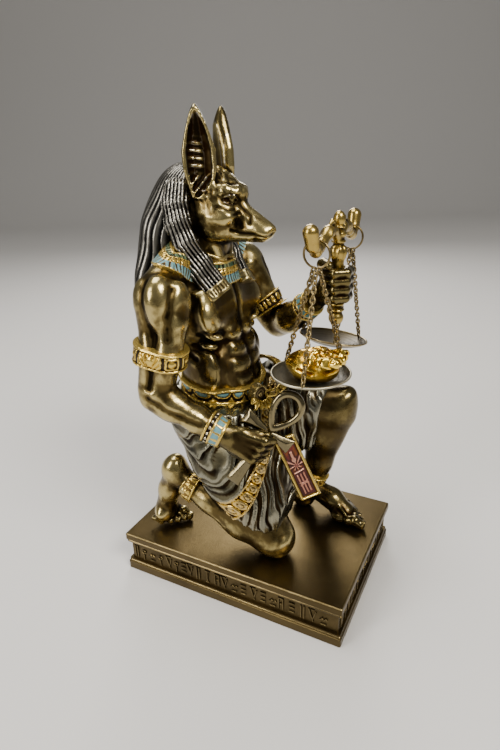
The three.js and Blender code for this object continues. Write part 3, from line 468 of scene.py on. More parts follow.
def leg_far():
    h, k, a = HIP_L, KNEE_L, ANKLE_L
    thigh = limb(5, [h, mix(h, k, 0.5), k], [21, 17, 11.5])
    cap = oval(k + (0, -4.5, 5.5), (8, 6.5, 8.5), (35, 0, 0))
    calf = limb(5, [k, mix(k, a, 0.33) + (0, 4, 0), mix(k, a, 0.72), a], [10.8, 11.6, 7.2, 5.4])
    shin = cone(k + (0, -6, -6), a + (0, -3, 4), 4.5, 3.2)
    return blend(4, thigh, cap, calf, shin)


def leg_near():
    h, k, a = HIP_R, KNEE_R, ANKLE_R
    thigh = limb(5, [h, mix(h, k, 0.5), k], [22, 18, 11.2])
    cap = oval(k + (0, -5, -2), (8.5, 7.5, 9))
    calf = limb(5, [k, mix(k, a, 0.35), mix(k, a, 0.75), a], [11, 11.4, 7.8, 6.7])
    return blend(4, thigh, cap, calf)


def leg_near_detail():
    k, a = KNEE_R, ANKLE_R
    cord = [*beside(k, a, (0.55, -5.5, 3.5, 4), (0.85, -3, 3.5, 3.5)), HEEL_R + (-1, -1, -5)]
    shin = [k + (-4.5, -4.5, -3), *beside(k, a, (0.5, -7.6, -1, -4), (0.9, -4.4, -1.5, -3))]
    cap = [oval(k + (-3.5, -8.5, 0.5), (5, 4, 5.2)), oval(k + (-5.5, -6, -6), (3.2, 3.4, 3.2))]
    return [limb(1.5, cord, [3.0, 2.4, 2.2]), limb(1.5, shin, [3.4, 2.6, 2])] + cap


def toes(root, aim, step, drop):
    """Five toes from the big one on, each with its knuckle, and their nails."""
    bones, nails = [], []
    for i in range(5):
        r = 2.9 * (0.8 - 0.04 * i if i else 1.1)
        a = root + (step * i, 0.49 * i * i, 0)
        b = a + aim * (1 - 0.1 * i)
        knuckle, tip = mix(a, b, 0.55), b + (0, 0, -drop)
        bones.append(limb(0.8, [a, knuckle + (0, 0, 1), tip], [r * 0.94, r * 0.92, r * 0.86]))
        bones.append(oval(knuckle + (0, 0, 1.1), (r * 0.95, r * 0.9, r * 0.95)))
        nail = tip + unit(aim) * (r * 0.45) + (0, 0, r * 0.62)
        nails.append(oval(nail, (r * 0.55, r * 0.6, r * 0.3), (-20, 0, 0)))
    return bones + nails


def foot_far():
    a, sole = ANKLE_L, STAND + 3
    heel = oval((a[0], a[1] + 6, sole + 4), (6.3, 8, 8))
    arch = limb(4, [a + (0, 0, -4), (23.5, -38, sole + 7), (22, -47, sole + 2.2)], [6.4, 6.2, 5])
    pad = oval((22, -46, sole + 0.6), (9.6, 7, 4.2), (0, 0, -12))
    knobs = [oval(a + (6 * s, 1, -1), (2.4, 3, 3)) for s in SIDES]
    ends = [(15.5 + 3.6 * i, -49 + 0.4 * i * i, sole + 4.2) for i in range(5)]
    cords = [cone((23.5, -34, sole + 12.6), end, 1.0, 0.9) for end in ends]
    return blend(0.9, blend(3, heel, arch, pad), *knobs, *cords, *toes(*TOES_L))


def foot_near():
    heel = oval(HEEL_R + (0, 0, -2), (6.6, 6.4, 8.5), (20, 0, 0))
    sole = limb(4, [ANKLE_R, HEEL_R + (0, 0, -4), mix(HEEL_R, BALL_R, 0.55), BALL_R], [6.4, 6.6, 6, 6.2])
    pad = oval(BALL_R + (0, -1, -1), (9.6, 6, 6.5))
    knobs = [oval(ANKLE_R + (6 * s, 2, 1), (2.4, 3, 3)) for s in SIDES]
    return blend(1.0, blend(3, heel, sole, pad), *knobs, *toes(*TOES_R))


# Jackal head
def head():
    bulk = blend(
        4,
        oval(SKULL + (0, 0.5, -1.5), (13.6, 16, 13.6)),
        cone((0, 21, 221.0), (0, 11.4, 215.2), 8.9, 5.8),
        cone((0, 8, 208.2), (0, -6.8, 200.8), 6.0, 3.9),
        cone((0, 16, 200.6), (0, -4, 197.6), 6.6, 2.9),
        *[oval(side(s, (8, 17, 205.5)), (6.6, 11, 10)) for s in SIDES],
    )
    brow = [(1.6, 5.8, 218.2), (4.2, 7.2, 219.2), (7.4, 10.8, 220), (10.2, 16.5, 220.8)]
    brows = [limb(2, side(s, brow), [1.5, 1.4, 1.0, 0.5]) for s in SIDES]
    muzzle = [oval(side(s, (2.6, -2.5, 201.2)), (3.2, 7.4, 3.1), (18, 0, 8 * s)) for s in SIDES]
    cheeks = [oval(side(s, (9, 13, 209)), (3.4, 7.5, 2.8), (14, 0, 20 * s)) for s in SIDES]
    jaws = [cone(*side(s, [(9.6, 18, 200), (4.2, 1, 198)]), 2.4, 1.5) for s in SIDES]
    whole = blend(3.8, bulk, *brows, *muzzle, *cheeks, *jaws)
    nose, bridge = oval((0, -9.9, 201.0), (2.7, 2.2, 2.2)), cone((0, -8, 202.6), (0, 4.6, 211), 2.0, 2.2)
    whole = blend(1.2, whole, nose, bridge)
    # Mouth, eye socket, muzzle's edge, two folds under the eye, temple, nostril and cheek: depth and width
    folds = [
        ([(1.4, -11.6, 198.9), (4.8, -6, 198.7), (8.6, 3, 200), (10, 7, 201.4)], 0.75, 0.7),
        ([(5.4, 4.6, 214.4), (9, 10, 215.4)], 1.6, 2.2),
        ([(5.4, 2.4, 213), (5.6, -1, 208.6), (6.4, -1, 205)], 0.7, 1.1),
        ([(8.2, 4.6, 211.6), (10.6, 8, 211), (12.4, 13, 212)], 0.6, 1.0),
        ([(7, 3, 209.6), (9.8, 6.4, 208.4)], 0.5, 0.8),
        ([(5, 8, 223.4), (9, 14, 224.6)], 0.6, 1.4),
        ([(1.5, -11.8, 201.4), (1.9, -11.2, 201.2)], 0.9, 0.6),
        ([(11.4, 10.4, 206), (13, 17, 207)], -0.5, 2.2),
    ]
    lines = [(arr([(0, 22, 231), (0, 14, 227.5), (0, 6, 222)]), -0.5, 2.0)]
    lines += [(side(s, path), depth, width) for s in SIDES for path, depth, width in folds]
    upper = [(5.4, 5.4, 215.0), (6.9, 6.4, 216.8), (8.9, 9.8, 217.0), (10.4, 13.6, 215.8)]
    lower = [(5.6, 5.6, 214.2), (7.4, 7.0, 213.8), (9.4, 10.4, 214.3), (10.4, 13.6, 215.8)]
    eyes = []
    for s in SIDES:
        eyes.append(oval(side(s, (6.4, 8.6, 215.5)), (1.7, 2.6, 1.35), (0, 10, 38 * s)))
        eyes.append(limb(0.5, side(s, upper), [0.3, 0.6, 0.6, 0.35]))
        eyes.append(limb(0.5, side(s, lower), [0.25, 0.4, 0.4, 0.3]))

    def hammered(p):
        """Lumps over the forehead, the brows and the roots of the ears, faint on the muzzle."""
        share = np.clip((p[:, 2] - 211) / 6, 0.25, 1) * np.clip((p[:, 1] + 2) / 8, 0.4, 1)
        return share * (0.34 * noise(p, 5.5, 51) + 0.16 * noise(p, 2.8, 52))
    return blend(0.6, lift(etch(whole, lines), hammered), *eyes)


def ear_axes(s):
    """The ear's root, its height, and its directions across, up and out of its opening."""
    root = arr((11.8 * s, 21, 216.5))
    up = side(s, EAR_TIP) - root
    high = np.linalg.norm(up)
    up /= high
    out = square_to(up, (0.84 * s, -0.54, 0))
    return root, high, np.cross(up, out), up, out


def ear(s):
    root, high, across, up, out = ear_axes(s)

    def leaf(u, v, w, half, deep, rise):
        t = np.clip(v / high, 0, 1)
        wide = np.maximum(half * np.minimum(np.minimum(1, 0.62 + 1.2 * t), 1.6 * (1 - t) ** 0.66), 0.2)
        thick = np.maximum(np.minimum(deep, wide), 0.2)
        return np.maximum((np.hypot(u / wide, (w - rise) / thick) - 1) * thick, np.maximum(v - high, -v))

    def ridges(v, pitch, power):
        return np.maximum(np.sin(v * 2 * math.pi / pitch), 0) ** power

    def d(p):
        q = p - root
        u, v, w = q @ across, q @ up, q @ out
        t = v / high
        rungs = (0.75 + 0.35 * noise(p, 9, 61)) * ridges(v + 0.12 * u, 3.3, 1.2)
        rungs = rungs * np.clip((0.68 - t) * 7, 0, 1) * np.clip((t - 0.25) * 9, 0, 1)
        rungs = rungs * np.clip(1.35 - np.abs(u * s - 1.6) / 2.9, 0, 1)
        slant = 1.2 * ridges(v * 0.75 + u * s * 0.8, 3.6, 1.4) * np.clip((0.27 - t) * 10, 0, 1)
        hollow = leaf(u, v, w, 6.7, 4.6, 3.4) + rungs + slant
        return np.maximum(np.maximum(leaf(u, v, w, 8, 4.6, 0), -hollow), w - 1.8)
    return Shape(d, root + up * high / 2, high / 2 + 5)


# Head cloth of long strands
LAPPET_IN = arr([(14.5, 31, 222), (17, 31, 215), (18.5, 29.5, 207), (18.3, 26.3, 197), (15.2, 20.8, 186),
                 (11, 11, 171.5)])
LAPPET_OUT = arr([(16, 36, 222), (19.5, 35.5, 214), (21.5, 33, 204.5), (21.5, 28.8, 193), (20, 22.5, 182),
                  (18.7, 13.5, 169.5)])


def strip_place(p, mids, wides):
    """Where each point lies across a strip: -1 to 1 over its width."""
    part, share, offset = nearest(p, mids)[1:]
    c = wides[part] + share[:, None] * (wides[part + 1] - wides[part])
    half = norm(c)
    return (offset * c).sum(1) / half / (half / 2 + 3)


def lappet_end(s):
    mids = side(s, mix(LAPPET_IN, LAPPET_OUT, 0.5))
    return mids[5], unit(mids[5] - mids[4])


def lappet(s):
    inner, outer = side(s, LAPPET_IN), side(s, LAPPET_OUT)
    strap = blend(5, *[limb(3, path, [3, 3.2, 3.3, 3.3, 3.3, 3.3]) for path in (inner, outer)])
    end, aim = lappet_end(s)

    def strands(p):
        t = strip_place(p, mix(inner, outer, 0.5), outer - inner)
        past = (p - end) @ aim
        hair = 0.95 * np.abs(np.sin(t * 3.2 * math.pi)) ** 0.55 - 0.6 + 0.12 * np.sin(t * 16 * math.pi)
        rows = np.abs(np.sin(t * 3.6 * math.pi)) > 0.45
        band = np.where(np.abs(past + 2.7) < 1.6, 0.15 + 0.45 * rows, 0.65)
        return np.where(past > -5.4, band, hair)
    return lift(clip(strap, lambda p: (p - end) @ aim), strands)


def hair():
    cap = oval((0, 35, 211.5), (18.6, 20.5, 21))
    fall = blend(6, oval((0, 45, 195), (25, 16, 26)), oval((0, 49, 171), (31, 14, 31)))

    def wave(p):
        turn = np.arctan2(p[:, 0], p[:, 1] - 29)
        return np.abs(np.sin((turn + 0.012 * np.sin(p[:, 2] * 0.06 + turn * 4)) * 28))

    def inside(p):
        return np.maximum(29.5 - p[:, 1], 153 + 1.4 * wave(p) - p[:, 2])
    return clip(lift(blend(5, cap, fall), lambda p: wave(p) ** 0.6 - 0.6), inside)


# Kilt
BORDER_RUN = unit((-0.52, 0.28, -0.81))
BORDER_WIDE = 6.8


def overlap(p):
    """Distance from the edge where the cloth laps over itself, below 0 on the upper layer."""
    return 0.742 * (p[:, 0] + 22) - 0.319 * (p[:, 1] + 16) - 0.588 * (p[:, 2] - 90)


def kilt_cloth():
    return blend(
        8,
        oval((0, 26, 102), (28.5, 23, 17)),
        limb(6, [(-12, 20, 104), (-17, 6, 82), (-23, -9, 54)], [24, 22.5, 19]),
        limb(6, [(12, 20, 104), (17, 0, 102), (21, -24, 100)], [23, 20.5, 16]),
        limb(5, [(-3, 4, 104), (-6, -8, 84), (-11, -16, 58)], [11, 9.5, 9.5]),
        limb(4, [(4, -2, 96), (8, -14, 88), (11.5, -24, 81.5)], [9, 8, 6.4]),
    )


def border_relief(p, edge):
    """A row of domed scales between two rails, each with a hooked mark."""
    u, v = tile(p @ BORDER_RUN / 5.4, 1), (edge + BORDER_WIDE / 2) / 2.6
    dome = np.clip(1 - np.abs(u) ** 3 - np.abs(v) ** 3, 0, 1)
    a, b = u * 2.7 - 0.2, v * 2.6
    hook = (np.abs(np.hypot(a, b) - 1.2) < 0.34) & (a > -0.5)
    hook |= (np.abs(a + 0.9) < 0.36) & (np.abs(b) < 0.9)
    rail = np.abs(v) > 1
    height = np.where(rail, 2.15, 1.35 + 0.95 * np.sqrt(dome) - 0.25 * (hook & (dome > 0.4)))
    return height, np.where(rail, GILT, np.where((dome < 0.12) | hook, DARK, GILT))


def folds(v, pitch, shift=0.0):
    return np.sin(v / pitch * 2 * math.pi + shift)


def kilt(cloth, waist):
    def d(p):
        out = cloth.d(p)
        near = np.abs(out) < 6
        q = p[near]
        edge = overlap(q)
        warp = 1.6 * noise(q, 34, 3)
        fold = 0.45 * q[:, 0] - 0.89 * q[:, 1] + 1.8 * warp
        under = 0.55 * folds(fold, 5.8) + 0.24 * folds(fold, 2.5, 2 * warp)
        under = under * np.clip((100 - q[:, 2]) / 14, 0.45, 1) + 0.5 * noise(q * (1, 1, 0.45), 12, 7)
        sweep = edge + 0.16 * (q[:, 2] - 90) + warp + 1.2 * noise(q, 30, 9)
        over = 1.5 + 0.62 * folds(sweep, 6.2) + 0.32 * folds(sweep, 2.3, 1.0) + 0.2 * noise(q, 18, 12)
        border = border_relief(q, edge)[0]
        out[near] -= np.where(edge > 0, under, np.where(edge > -BORDER_WIDE, border, over))
        hem = 60 + 0.52 * p[:, 1] - p[:, 2]
        knee = -34 + 0.14 * (108 - p[:, 2]) - p[:, 1]
        top = p[:, 2] - 0.15 * p[:, 1] - 110.6
        thigh = near & (p[:, 0] > -2) & (top > 0)
        top[thigh] = np.minimum(top[thigh], 6.5 - waist.d(p[thigh]))
        return np.maximum(np.maximum(out, hem), np.maximum(knee, top))
    return Shape(d, cloth.c, cloth.r)


# Looped cross
def ankh_axes():
    up = unit((0.3, -0.5, 0.81))
    bar = square_to(up, (0.21, -0.85, -0.48))
    return bar, up, np.cross(bar, up)


def polygon_distance(q, poly):
    """Signed distance to a closed outline, below 0 inside."""
    best = np.full(len(q), 1e9)
    odd = np.zeros(len(q), bool)
    for a, b in zip(poly, np.roll(poly, -1, axis=0)):
        run = b - a
        t = np.clip(((q - a) @ run) / (run @ run), 0, 1)
        best = np.minimum(best, np.hypot(*(q - a - t[:, None] * run).T))
        crosses = (a[1] > q[:, 1]) != (b[1] > q[:, 1])
        at = a[0] + (q[:, 1] - a[1]) * run[0] / (run[1] if run[1] else 1e-12)
        odd ^= crosses & (q[:, 0] < at)
    return np.where(odd, -best, best)


def teardrop(half, length, rise):
    t = ring_turns(40)
    return np.stack([half * np.sin(t) * np.sin(t / 2) ** 0.85, rise + length * (1 - np.cos(t)) / 2], 1)


def ankh():
    x, y, z = ankh_axes()
    slim, end, short, thin_edge = 1.3, 4.3, BAR - 1.8, 0.75
    arms = arr([(slim, slim), (short, end), (short, -end), (slim, -slim), (end, -SHAFT), (-end, -SHAFT),
                (-slim, -slim), (-BAR, -end - 0.5), (-BAR, end + 0.5), (-slim, slim)])
    outer = teardrop(LOOP_HALF, LOOP, 0)
    inner = teardrop(LOOP_HALF - LOOP_WIDE, LOOP - 2.1 * LOOP_WIDE, 1.25 * LOOP_WIDE)

    def d(p):
        q = p - CROSS
        flat = np.stack([q @ x, q @ y], 1)
        ringed = np.maximum(polygon_distance(flat, outer), -polygon_distance(flat, inner))
        plan = np.minimum(ringed, polygon_distance(flat, arms))
        rise = np.clip(-plan / 2.3, 0, 1)
        domed = np.where(ringed < plan + 0.01, np.sqrt(1 - (1 - rise) ** 2), rise)
        thick = thin_edge + (FLAT / 2 - thin_edge) * domed
        return rounded(plan, (np.abs(q @ z) - thick) * 0.85, 0.3)
    return Shape(d, CROSS - 2 * y, 33)


# Painted panel
def pendant_axes():
    high = np.linalg.norm(PENDANT_TOP - PENDANT_FOOT)
    up = unit(PENDANT_TOP - PENDANT_FOOT)
    across = square_to(up, PENDANT_ACROSS)
    return across, up, np.cross(across, up), high


def pendant_place(p):
    """Place across, up and out of the panel, and distance from its outline."""
    across, up, out, high = pendant_axes()
    q = p - PENDANT_FOOT
    u, v = q @ across, q @ up
    ends = np.abs(v + 0.16 * u - high / 2 - 0.8) - high / 2 - 0.2
    return u, v, q @ out, np.maximum(np.abs(u) - PENDANT_WIDE / 2, ends)


def pendant_marks(u, v):
    """Raised marks on the panel: a spread motif above and long strokes below."""
    strokes = ((np.abs(np.abs(u) - 1.9) < 0.42) | (np.abs(u) < 0.4)) & between(v, 4, 15.5)
    cross = (np.abs(np.abs(v - 10) - 0.35 * np.abs(u)) < 0.42) & (np.abs(u) < 2.6)
    r = np.hypot(u, (v - 24) * 0.9)
    rays = np.abs(np.sin(np.arctan2(v - 21, u) * 4)) < 0.30 + 0.4 / np.maximum(r, 0.5)
    star = rays & (r < 5.0) & (v > 18)
    disc = np.hypot(u, v - 24.5) < 1.3
    bars = (np.abs(v - 17.2) < 0.4) & (np.abs(u) < 3.1)
    return strokes | cross | star | disc | bars


def pendant():
    def d(p):
        u, v, w, plan = pendant_place(p)
        inset = np.clip((-plan - 1.5) * 4, 0, 1)
        face = PENDANT_THICK - 0.75 * inset + 0.5 * inset * pendant_marks(u, v)
        face = face + 0.3 * (np.abs(plan + 0.75) < 0.4)
        return rounded(plan, np.maximum(-w, w - face), 0.3)
    _, up, _, high = pendant_axes()
    return Shape(d, PENDANT_FOOT + up * (high / 2), high / 2 + 7)


def pendant_paint(p):
    u, v, w, plan = pendant_place(p)
    out = evenly(GILDING)(p)
    panel, upper, marks = (plan < -1.45) & (w > 0.8), v > 16.5, pendant_marks(u, v)
    out[panel] = (0.17, 0.028, 0.022, 0.75)
    out[panel & upper & (noise(p, 6, 41) > 0.15)] = (0.26, 0.075, 0.022, 0.7)
    out[panel & marks & upper] = (0.50, 0.19, 0.16, 0.75)
    out[panel & marks & ~upper] = (0.36, 0.10, 0.095, 0.75)
    out[(np.abs(plan + 1.7) < 0.28) & (w > 0.8)] = (0.30, 0.17, 0.02, 0.35)
    return out


# Jewellery bands: a layer over a limb, its relief and colour by s, from -1 to 1 across, and t, turns round
def band_frame(at, aim, start):
    n = unit(aim)
    a = square_to(n, start)
    return arr(at), n, a, np.cross(n, a)


def band_place(p, place, half):
    at, n, a, b = place
    q = p - at
    return (q @ n) / half, np.arctan2(q @ b, q @ a) / (2 * math.pi) + 0.5


def band(base, place, half, thick, reach, relief):
    at, n = place[:2]

    def d(p):
        out = np.maximum(np.abs((p - at) @ n) - half, norm(p - at) - reach)
        near = out < 1.5
        layer = (thick + relief(*band_place(p[near], place, half))[0]) / 2
        out[near] = rounded(np.abs(base.d(p[near]) + 0.9 - layer) - layer - 0.9, out[near], 0.25)
        return out
    return Shape(d, at, math.hypot(reach, half))


def tile(t, count):
    """Place within one of count tiles round, from -1 to 1."""
    return ((t * count) % 1) * 2 - 1


def rails(s, width):
    return np.abs(s) > 1 - width


def belt_relief(s, t):
    """Rails with a row of half discs, flat side up, each in a crescent, and wedges between them."""
    u, v = tile(t, 16) * 4.5, s * 4.5
    r = np.hypot(u, (v - 2.4) * 1.1)
    disc = (r < 2.7) & (v < 2.4)
    rim = between(r, 3.0, 3.9) & (v < 2.4)
    wedge = 4.5 - np.abs(u) < 0.75 * (-v - 0.2)
    rail = rails(s, 0.30)
    kind = np.select([rail, disc, rim | wedge], [GILT, BLUE, GILT], DARK)
    return np.select([rail, kind == GILT, kind == BLUE], [0.7, 0.4, 0.2], -0.15), kind


def square_relief(s, t):
    """Square panels with a boss, and at the outer front a winged disc."""
    u, rail = tile(t, 9), rails(s, 0.26)
    panel = (np.abs(u) < 0.78) & (np.abs(s) < 0.62)
    edge = panel & ((np.abs(u) > 0.56) | (np.abs(s) > 0.44))
    dome = 0.7 * np.clip(0.42 - np.hypot(u * 0.8, s * 0.95), 0, 0.42) / 0.42
    height = np.where(edge, 0.35, np.where(panel, dome - 0.1, -0.15))
    v = ((t + 0.495) % 1 - 0.5) * 13
    r = np.hypot(v, s * 0.8)
    wings = (np.abs(v) < 1.15) & (np.abs(s) < 0.68)
    feather = 0.25 + 0.3 * (np.sin(np.arctan2(s * 0.8 + 1.1, v) * 22) > 0)
    height = np.where(wings, np.where(r < 0.42, 0.45 + np.sqrt(np.clip(0.18 - r * r, 0, 1)), feather), height)
    return np.where(rail, 0.75, height), np.where((height < 0) & ~rail, DARK, GILT)


def cuff_relief(s, t):
    """Rail, bead row, rail, coloured bars, rail."""
    rail = (s > 0.74) | (np.abs(s - 0.20) < 0.12) | (s < -0.70)
    bead = (np.hypot(tile(t, 15) * 1.3, (s - 0.52) * 4.6) < 0.62) & (s > 0.3)
    bars = between(s, -0.70, 0.08) & (np.abs(tile(t, 13)) < 0.70 + 0.3 * (s + 0.3))
    parts = [rail, bead, bars, s < 0.12]
    return np.select(parts, [0.6, 0.5, 0.15, 0.3], -0.15), np.select(parts, [GILT, PEARL, BLUE, GILT], DARK)


def anklet_relief(s, t):
    """Rails with tall wedges, a dot over each gap."""
    u = tile(t, 13)
    wedge = (np.abs(u) < 0.42 - 0.42 * s) & (np.abs(s) < 0.66)
    dot = np.hypot(np.abs(u) - 1, (s - 0.3) * 0.9) < 0.2
    height = np.select([rails(s, 0.26), wedge | dot], [0.5, 0.35], -0.05)
    return height, np.where(height > 0, GILT, BROWN)


def lump_relief(s, t):
    rail, lump = rails(s, 0.24), np.hypot(tile(t, 12) * 0.9, s * 1.1) < 0.6
    return np.select([rail, lump], [0.5, 0.55], 0.0), np.where(rail | lump, GILT, DARK)


def trim_relief(s, t):
    """Two rails with a row of round bosses."""
    boss, rail = np.hypot(tile(t, 13), s / 1.35) < 1, np.abs(s) > 1.5
    return np.select([rail, boss], [0.4, 0.6], 0.0), np.where(rail | boss, GILT, BROWN)


COLLAR_HALF = [(0, 12.5, 173), (-9, 13.5, 173), (-16.5, 16.5, 174.6), (-22.5, 21, 178), (-30, 23, 182),
               (-36, 24.6, 185.2), (-39.4, 28.5, 187.6), (-38, 34, 188), (-32, 40, 188), (-22, 44, 187),
               (-10, 46, 186), (0, 46.5, 186)]
COLLAR_EDGE = COLLAR_HALF + list(side(-1, COLLAR_HALF[-2::-1]))
THROAT_AT, THROAT_AIM = arr((0, 24, 187)), unit((0, -0.42, 1))
HIP_TRIM = [(-2.5, -7, 113.5), (0, -8.6, 113.1), (3, -11.5, 113.8), (8, -13, 117), (14, -9, 121),
            (21, 2, 124), (27, 12, 121)]
DISC_BACK, DISC_FRONT = arr([(-6.3, -1, 115.4), (-7.7, -5.7, 115.1)])
PETALS = [((-11.2, -3.3, 113.5), (-14.8, -3.2, 112.2)), ((-10.5, -4.4, 112.2), (-14.3, -5.3, 109.1)),
          ((-9.2, -5.5, 111.3), (-12.6, -7.4, 106.3)), ((-7.5, -6.5, 110.7), (-9.7, -9.2, 104.7)),
          ((-5.7, -7.1, 110.9), (-5.8, -10.7, 104.4)), ((-3.8, -7.5, 111.7), (-2.6, -11.7, 105.8))]


def collar_relief(inward, t):
    """Rim, coloured bars, rail, a row of lumps, rail, small green bars and rail, from the outer edge in."""
    rail = (inward < 1.3) | between(inward, 5.2, 5.8) | between(inward, 8.2, 8.8) | (inward > 11.0)
    bars = between(inward, 1.3, 5.2)
    bar = bars & (np.abs(tile(t, 88)) < 0.62)
    lump = between(inward, 5.8, 8.2) & (np.hypot(tile(t, 84), (inward - 7.0) / 1.2) < 0.95)
    fine = between(inward, 8.8, 11.0) & (np.abs(tile(t, 84)) < 0.7)
    kind = np.select([bar, fine, rail | lump, bars], [BLUE, GREEN, GILT, BROWN], DARK)
    return np.select([rail, bar, bars, lump, fine], [0.5, 0.3, 0.05, 0.55, 0.3], 0.0), kind


def throat_rings(base):
    """Thin rings low on the neck, above the collar."""
    def d(p):
        s = (p - THROAT_AT) @ THROAT_AIM
        wave = 0.45 * np.abs(np.sin(s * math.pi / 1.9)) ** 0.7
        return np.maximum(base.d(p) - 0.7 - wave, np.maximum(np.abs(s) - 3.8, norm(p - THROAT_AT) - 22))
    return Shape(d, THROAT_AT, 24)


def belt_disc():
    n = unit(DISC_FRONT - DISC_BACK)
    flat = barrel(DISC_BACK, DISC_FRONT, 5.5, 5.3)

    def d(p):
        along, r = along_out(p, DISC_FRONT, n)
        relief = np.where(r > 4.3, 0.5, 0.35 * np.abs(np.sin(r * math.pi / 1.7)) - 0.1 + 0.3 * (r < 1.6))
        return np.maximum(flat.d(p), along + 0.5 - relief)
    return Shape(d, flat.c, flat.r)


def petals(base):
    """Leaves under the belt's disc, each a root, a middle and a tip on the base's surface."""
    return blend(0.3, *[limb(0.3, on_surface(base, ends)[[0, 2, 5]], [1.0, 1.7, 0.8]) for ends in PETALS])


# Scales
def beam():
    low, pommel = GRIP["low"], GRIP["pommel"]

    def centre(z, dx=0, dy=0):
        return (GRIP["x"] + dx, GRIP["y"] + dy, z)

    def collars(*rows):
        return [oval(centre(z), (r, r, half)) for z, r, half in rows]
    handle = blend(0.4, barrel(centre(low), centre(GRIP["high"]), GRIP["radius"], GRIP["radius"]),
                   *collars((low, pommel, pommel), (low + 4.4, 4.2, 1.3), (low + 7.6, 4.2, 1.3)))
    lobes = []
    for a in (math.radians(60 * i + 30) for i in range(6)):
        turn = (-9 * math.sin(a), 9 * math.cos(a), 0)
        lobes.append(oval(centre(188.4, 2.1 * math.cos(a), 2.3 * math.sin(a)), (2.1, 2.1, 4.0), turn))
    rows = ((BUD_Z, 3, 4), (198, 4, 2.2), (201.4, 3.3, 0.8), (194.4, 3.7, 1.0))
    stem = [cone(centre(190), centre(198), 2.6, 2.8), *collars(*rows)]
    arms, cuts = [], []
    for s in SIDES:
        def at(dx, z):
            return centre(z, s * dx, dx * 0.07)
        arch_x, arch_z, dip_x, dip_z = [ARM[key] for key in ("arch_x", "arch_z", "dip_x", "dip_z")]
        fall, tip = at(arch_x + 6.5, arch_z - 5), arr(at(ARM["end_x"], ARM["end_z"]))
        rise = [at(2, 196), at(arch_x - 5.5, arch_z - 1.5), at(arch_x, arch_z - 1.5), fall]
        bend = [fall, at(dip_x - 3.5, dip_z + 1), at(dip_x, dip_z), at(dip_x + 3.4, dip_z + 3), tip]
        outer = limb(1, bend, [2.5, 2.6, 2.9, 3.2, ARM["ball"]])
        arms.append(blend(1, limb(1.5, rise, [2.3, 2.4, 2.8, 2.5]), outer))
        arms.append(limb(0.6, [at(5, 199.5), at(8.5, 205), at(11.5, 203.2)], [1.3, 1.1, 0.8]))
        arms.append(oval(at(arch_x + 2.4, arch_z - 2.2), (1.3, 3.4, 3.4), (0, -40 * s, 0)))
        for f in SIDES:
            path = tip + [(-1.2 * s, 3.6 * f, 3.2), (-1.6 * s, 3.9 * f, -2), (-3 * s, 3.4 * f, -7)]
            cuts.append(limb(0.4, path, [0.35, 0.45, 0.35]))
    return carve(0.4, blend(0.8, handle, *lobes, *stem, *arms), *cuts)


def heart():
    c = PAN_NEAR
    bulk = blend(5, oval(c + (-0.5, -2.5, 3.6), (10.5, 12, 7.2), (6, 0, 0)),
                 cone(c + (-0.5, 2, 3.4), c + (-0.5, 9, 4), 7.5, 3.8))
    vessels, bores = [], []
    for x, y in ((-7, -14.5), (-1, -15.5), (5, -14.5)):
        vessels.append(cone(c + (x, -8, 7), c + (x, y, 9.4), 3.4, 3))
        bores.append(cone(c + (x, y - 4, 10), c + (x, -12.5, 8.8), 1.9, 1.2))
    fringe = oval(c + (0, -6, 8.6), (9, 8.5, 3.6), (14, 0, 0))
    groove = limb(1, c + [(-12, -12, 4.6), (-11.5, -4, 3.6), (-10, 3, 4.8)], [1.1, 1.2, 0.6])
    whole = carve(0.8, blend(1.5, bulk, fringe, *vessels), groove)

    def ruffle(p):
        q = p - c
        top = np.clip((q[:, 2] - 6.4) / 2.2, 0, 1) * np.clip((0.6 - q[:, 1]) / 4, 0, 1)
        warp = 1.6 * noise(q, 9, 5)
        along, across = (q[:, 0] * 0.7 + warp) / 8.4, (q[:, 1] * 0.7 + warp * 1.3) / 9.6
        wave = np.sin(along * 2 * math.pi) * np.sin(across * 2 * math.pi)
        return top * (1.35 * np.sqrt(np.abs(wave)) - 0.6) + 0.25 * np.clip(noise(q, 11, 8) - 0.1, 0, 1)

    def floor(p):
        out = np.minimum(np.hypot(p[:, 0] - c[0], p[:, 1] - c[1]) / PAN_R, 1)
        return c[2] - PAN_DEPTH * (1 - out * out) + GAP + 0.2 - p[:, 2]
    return clip(carve(0.6, lift(whole, ruffle), *bores), floor)


# Closed surfaces from distance shapes
def grid_points(cells, size):
    offsets = np.stack(np.meshgrid(*[np.arange(size)] * 3, indexing="ij"), -1).reshape(-1, 3)
    return (cells[:, None, :] + offsets).reshape(-1, 3)


def in_parts(f, p, size=400000):
    return np.concatenate([f(p[i:i + size]) for i in range(0, len(p), size)]) if len(p) else np.zeros(0)


def surface(shape, voxel, lo, hi):
    """The shape's surface in quads. Only cubes of 4 cells a side close to it are worked out in full."""
    lo = arr(shape.c - shape.r if lo is None else lo) - 2 * voxel
    hi = arr(shape.c + shape.r if hi is None else hi) + 2 * voxel
    blocks = np.ceil((hi - lo) / voxel / 8).astype(int)
    far, slack = 3 * voxel, 1.6
    cells = np.stack(np.meshgrid(*[np.arange(n) for n in blocks], indexing="ij"), -1).reshape(-1, 3) * 8
    grid = np.empty(blocks * 8, np.float32)
    for size, step in ((8, 4), (4, 1)):
        d = in_parts(shape.d, lo + (cells + (size - 1) / 2) * voxel)
        near = np.abs(d) < size * voxel * 0.87 + slack
        for sign in (-1, 1):
            out = cells[~near & (np.sign(d) == sign)]
            for i in range(0, len(out), 20000):
                grid[tuple(grid_points(out[i:i + 20000], size).T)] = sign * far
        cells = grid_points(cells[near] // step, size // step) * step
    grid[tuple(cells.T)] = np.clip(in_parts(shape.d, lo + cells * voxel), -far, far)
    volume = openvdb.FloatGrid(far)
    volume.copyFromArray(grid)
    points, _, quads = volume.convertToPolygons(0.0, 0.0)
    return lo + arr(points) * voxel, np.asarray(quads, np.int64)


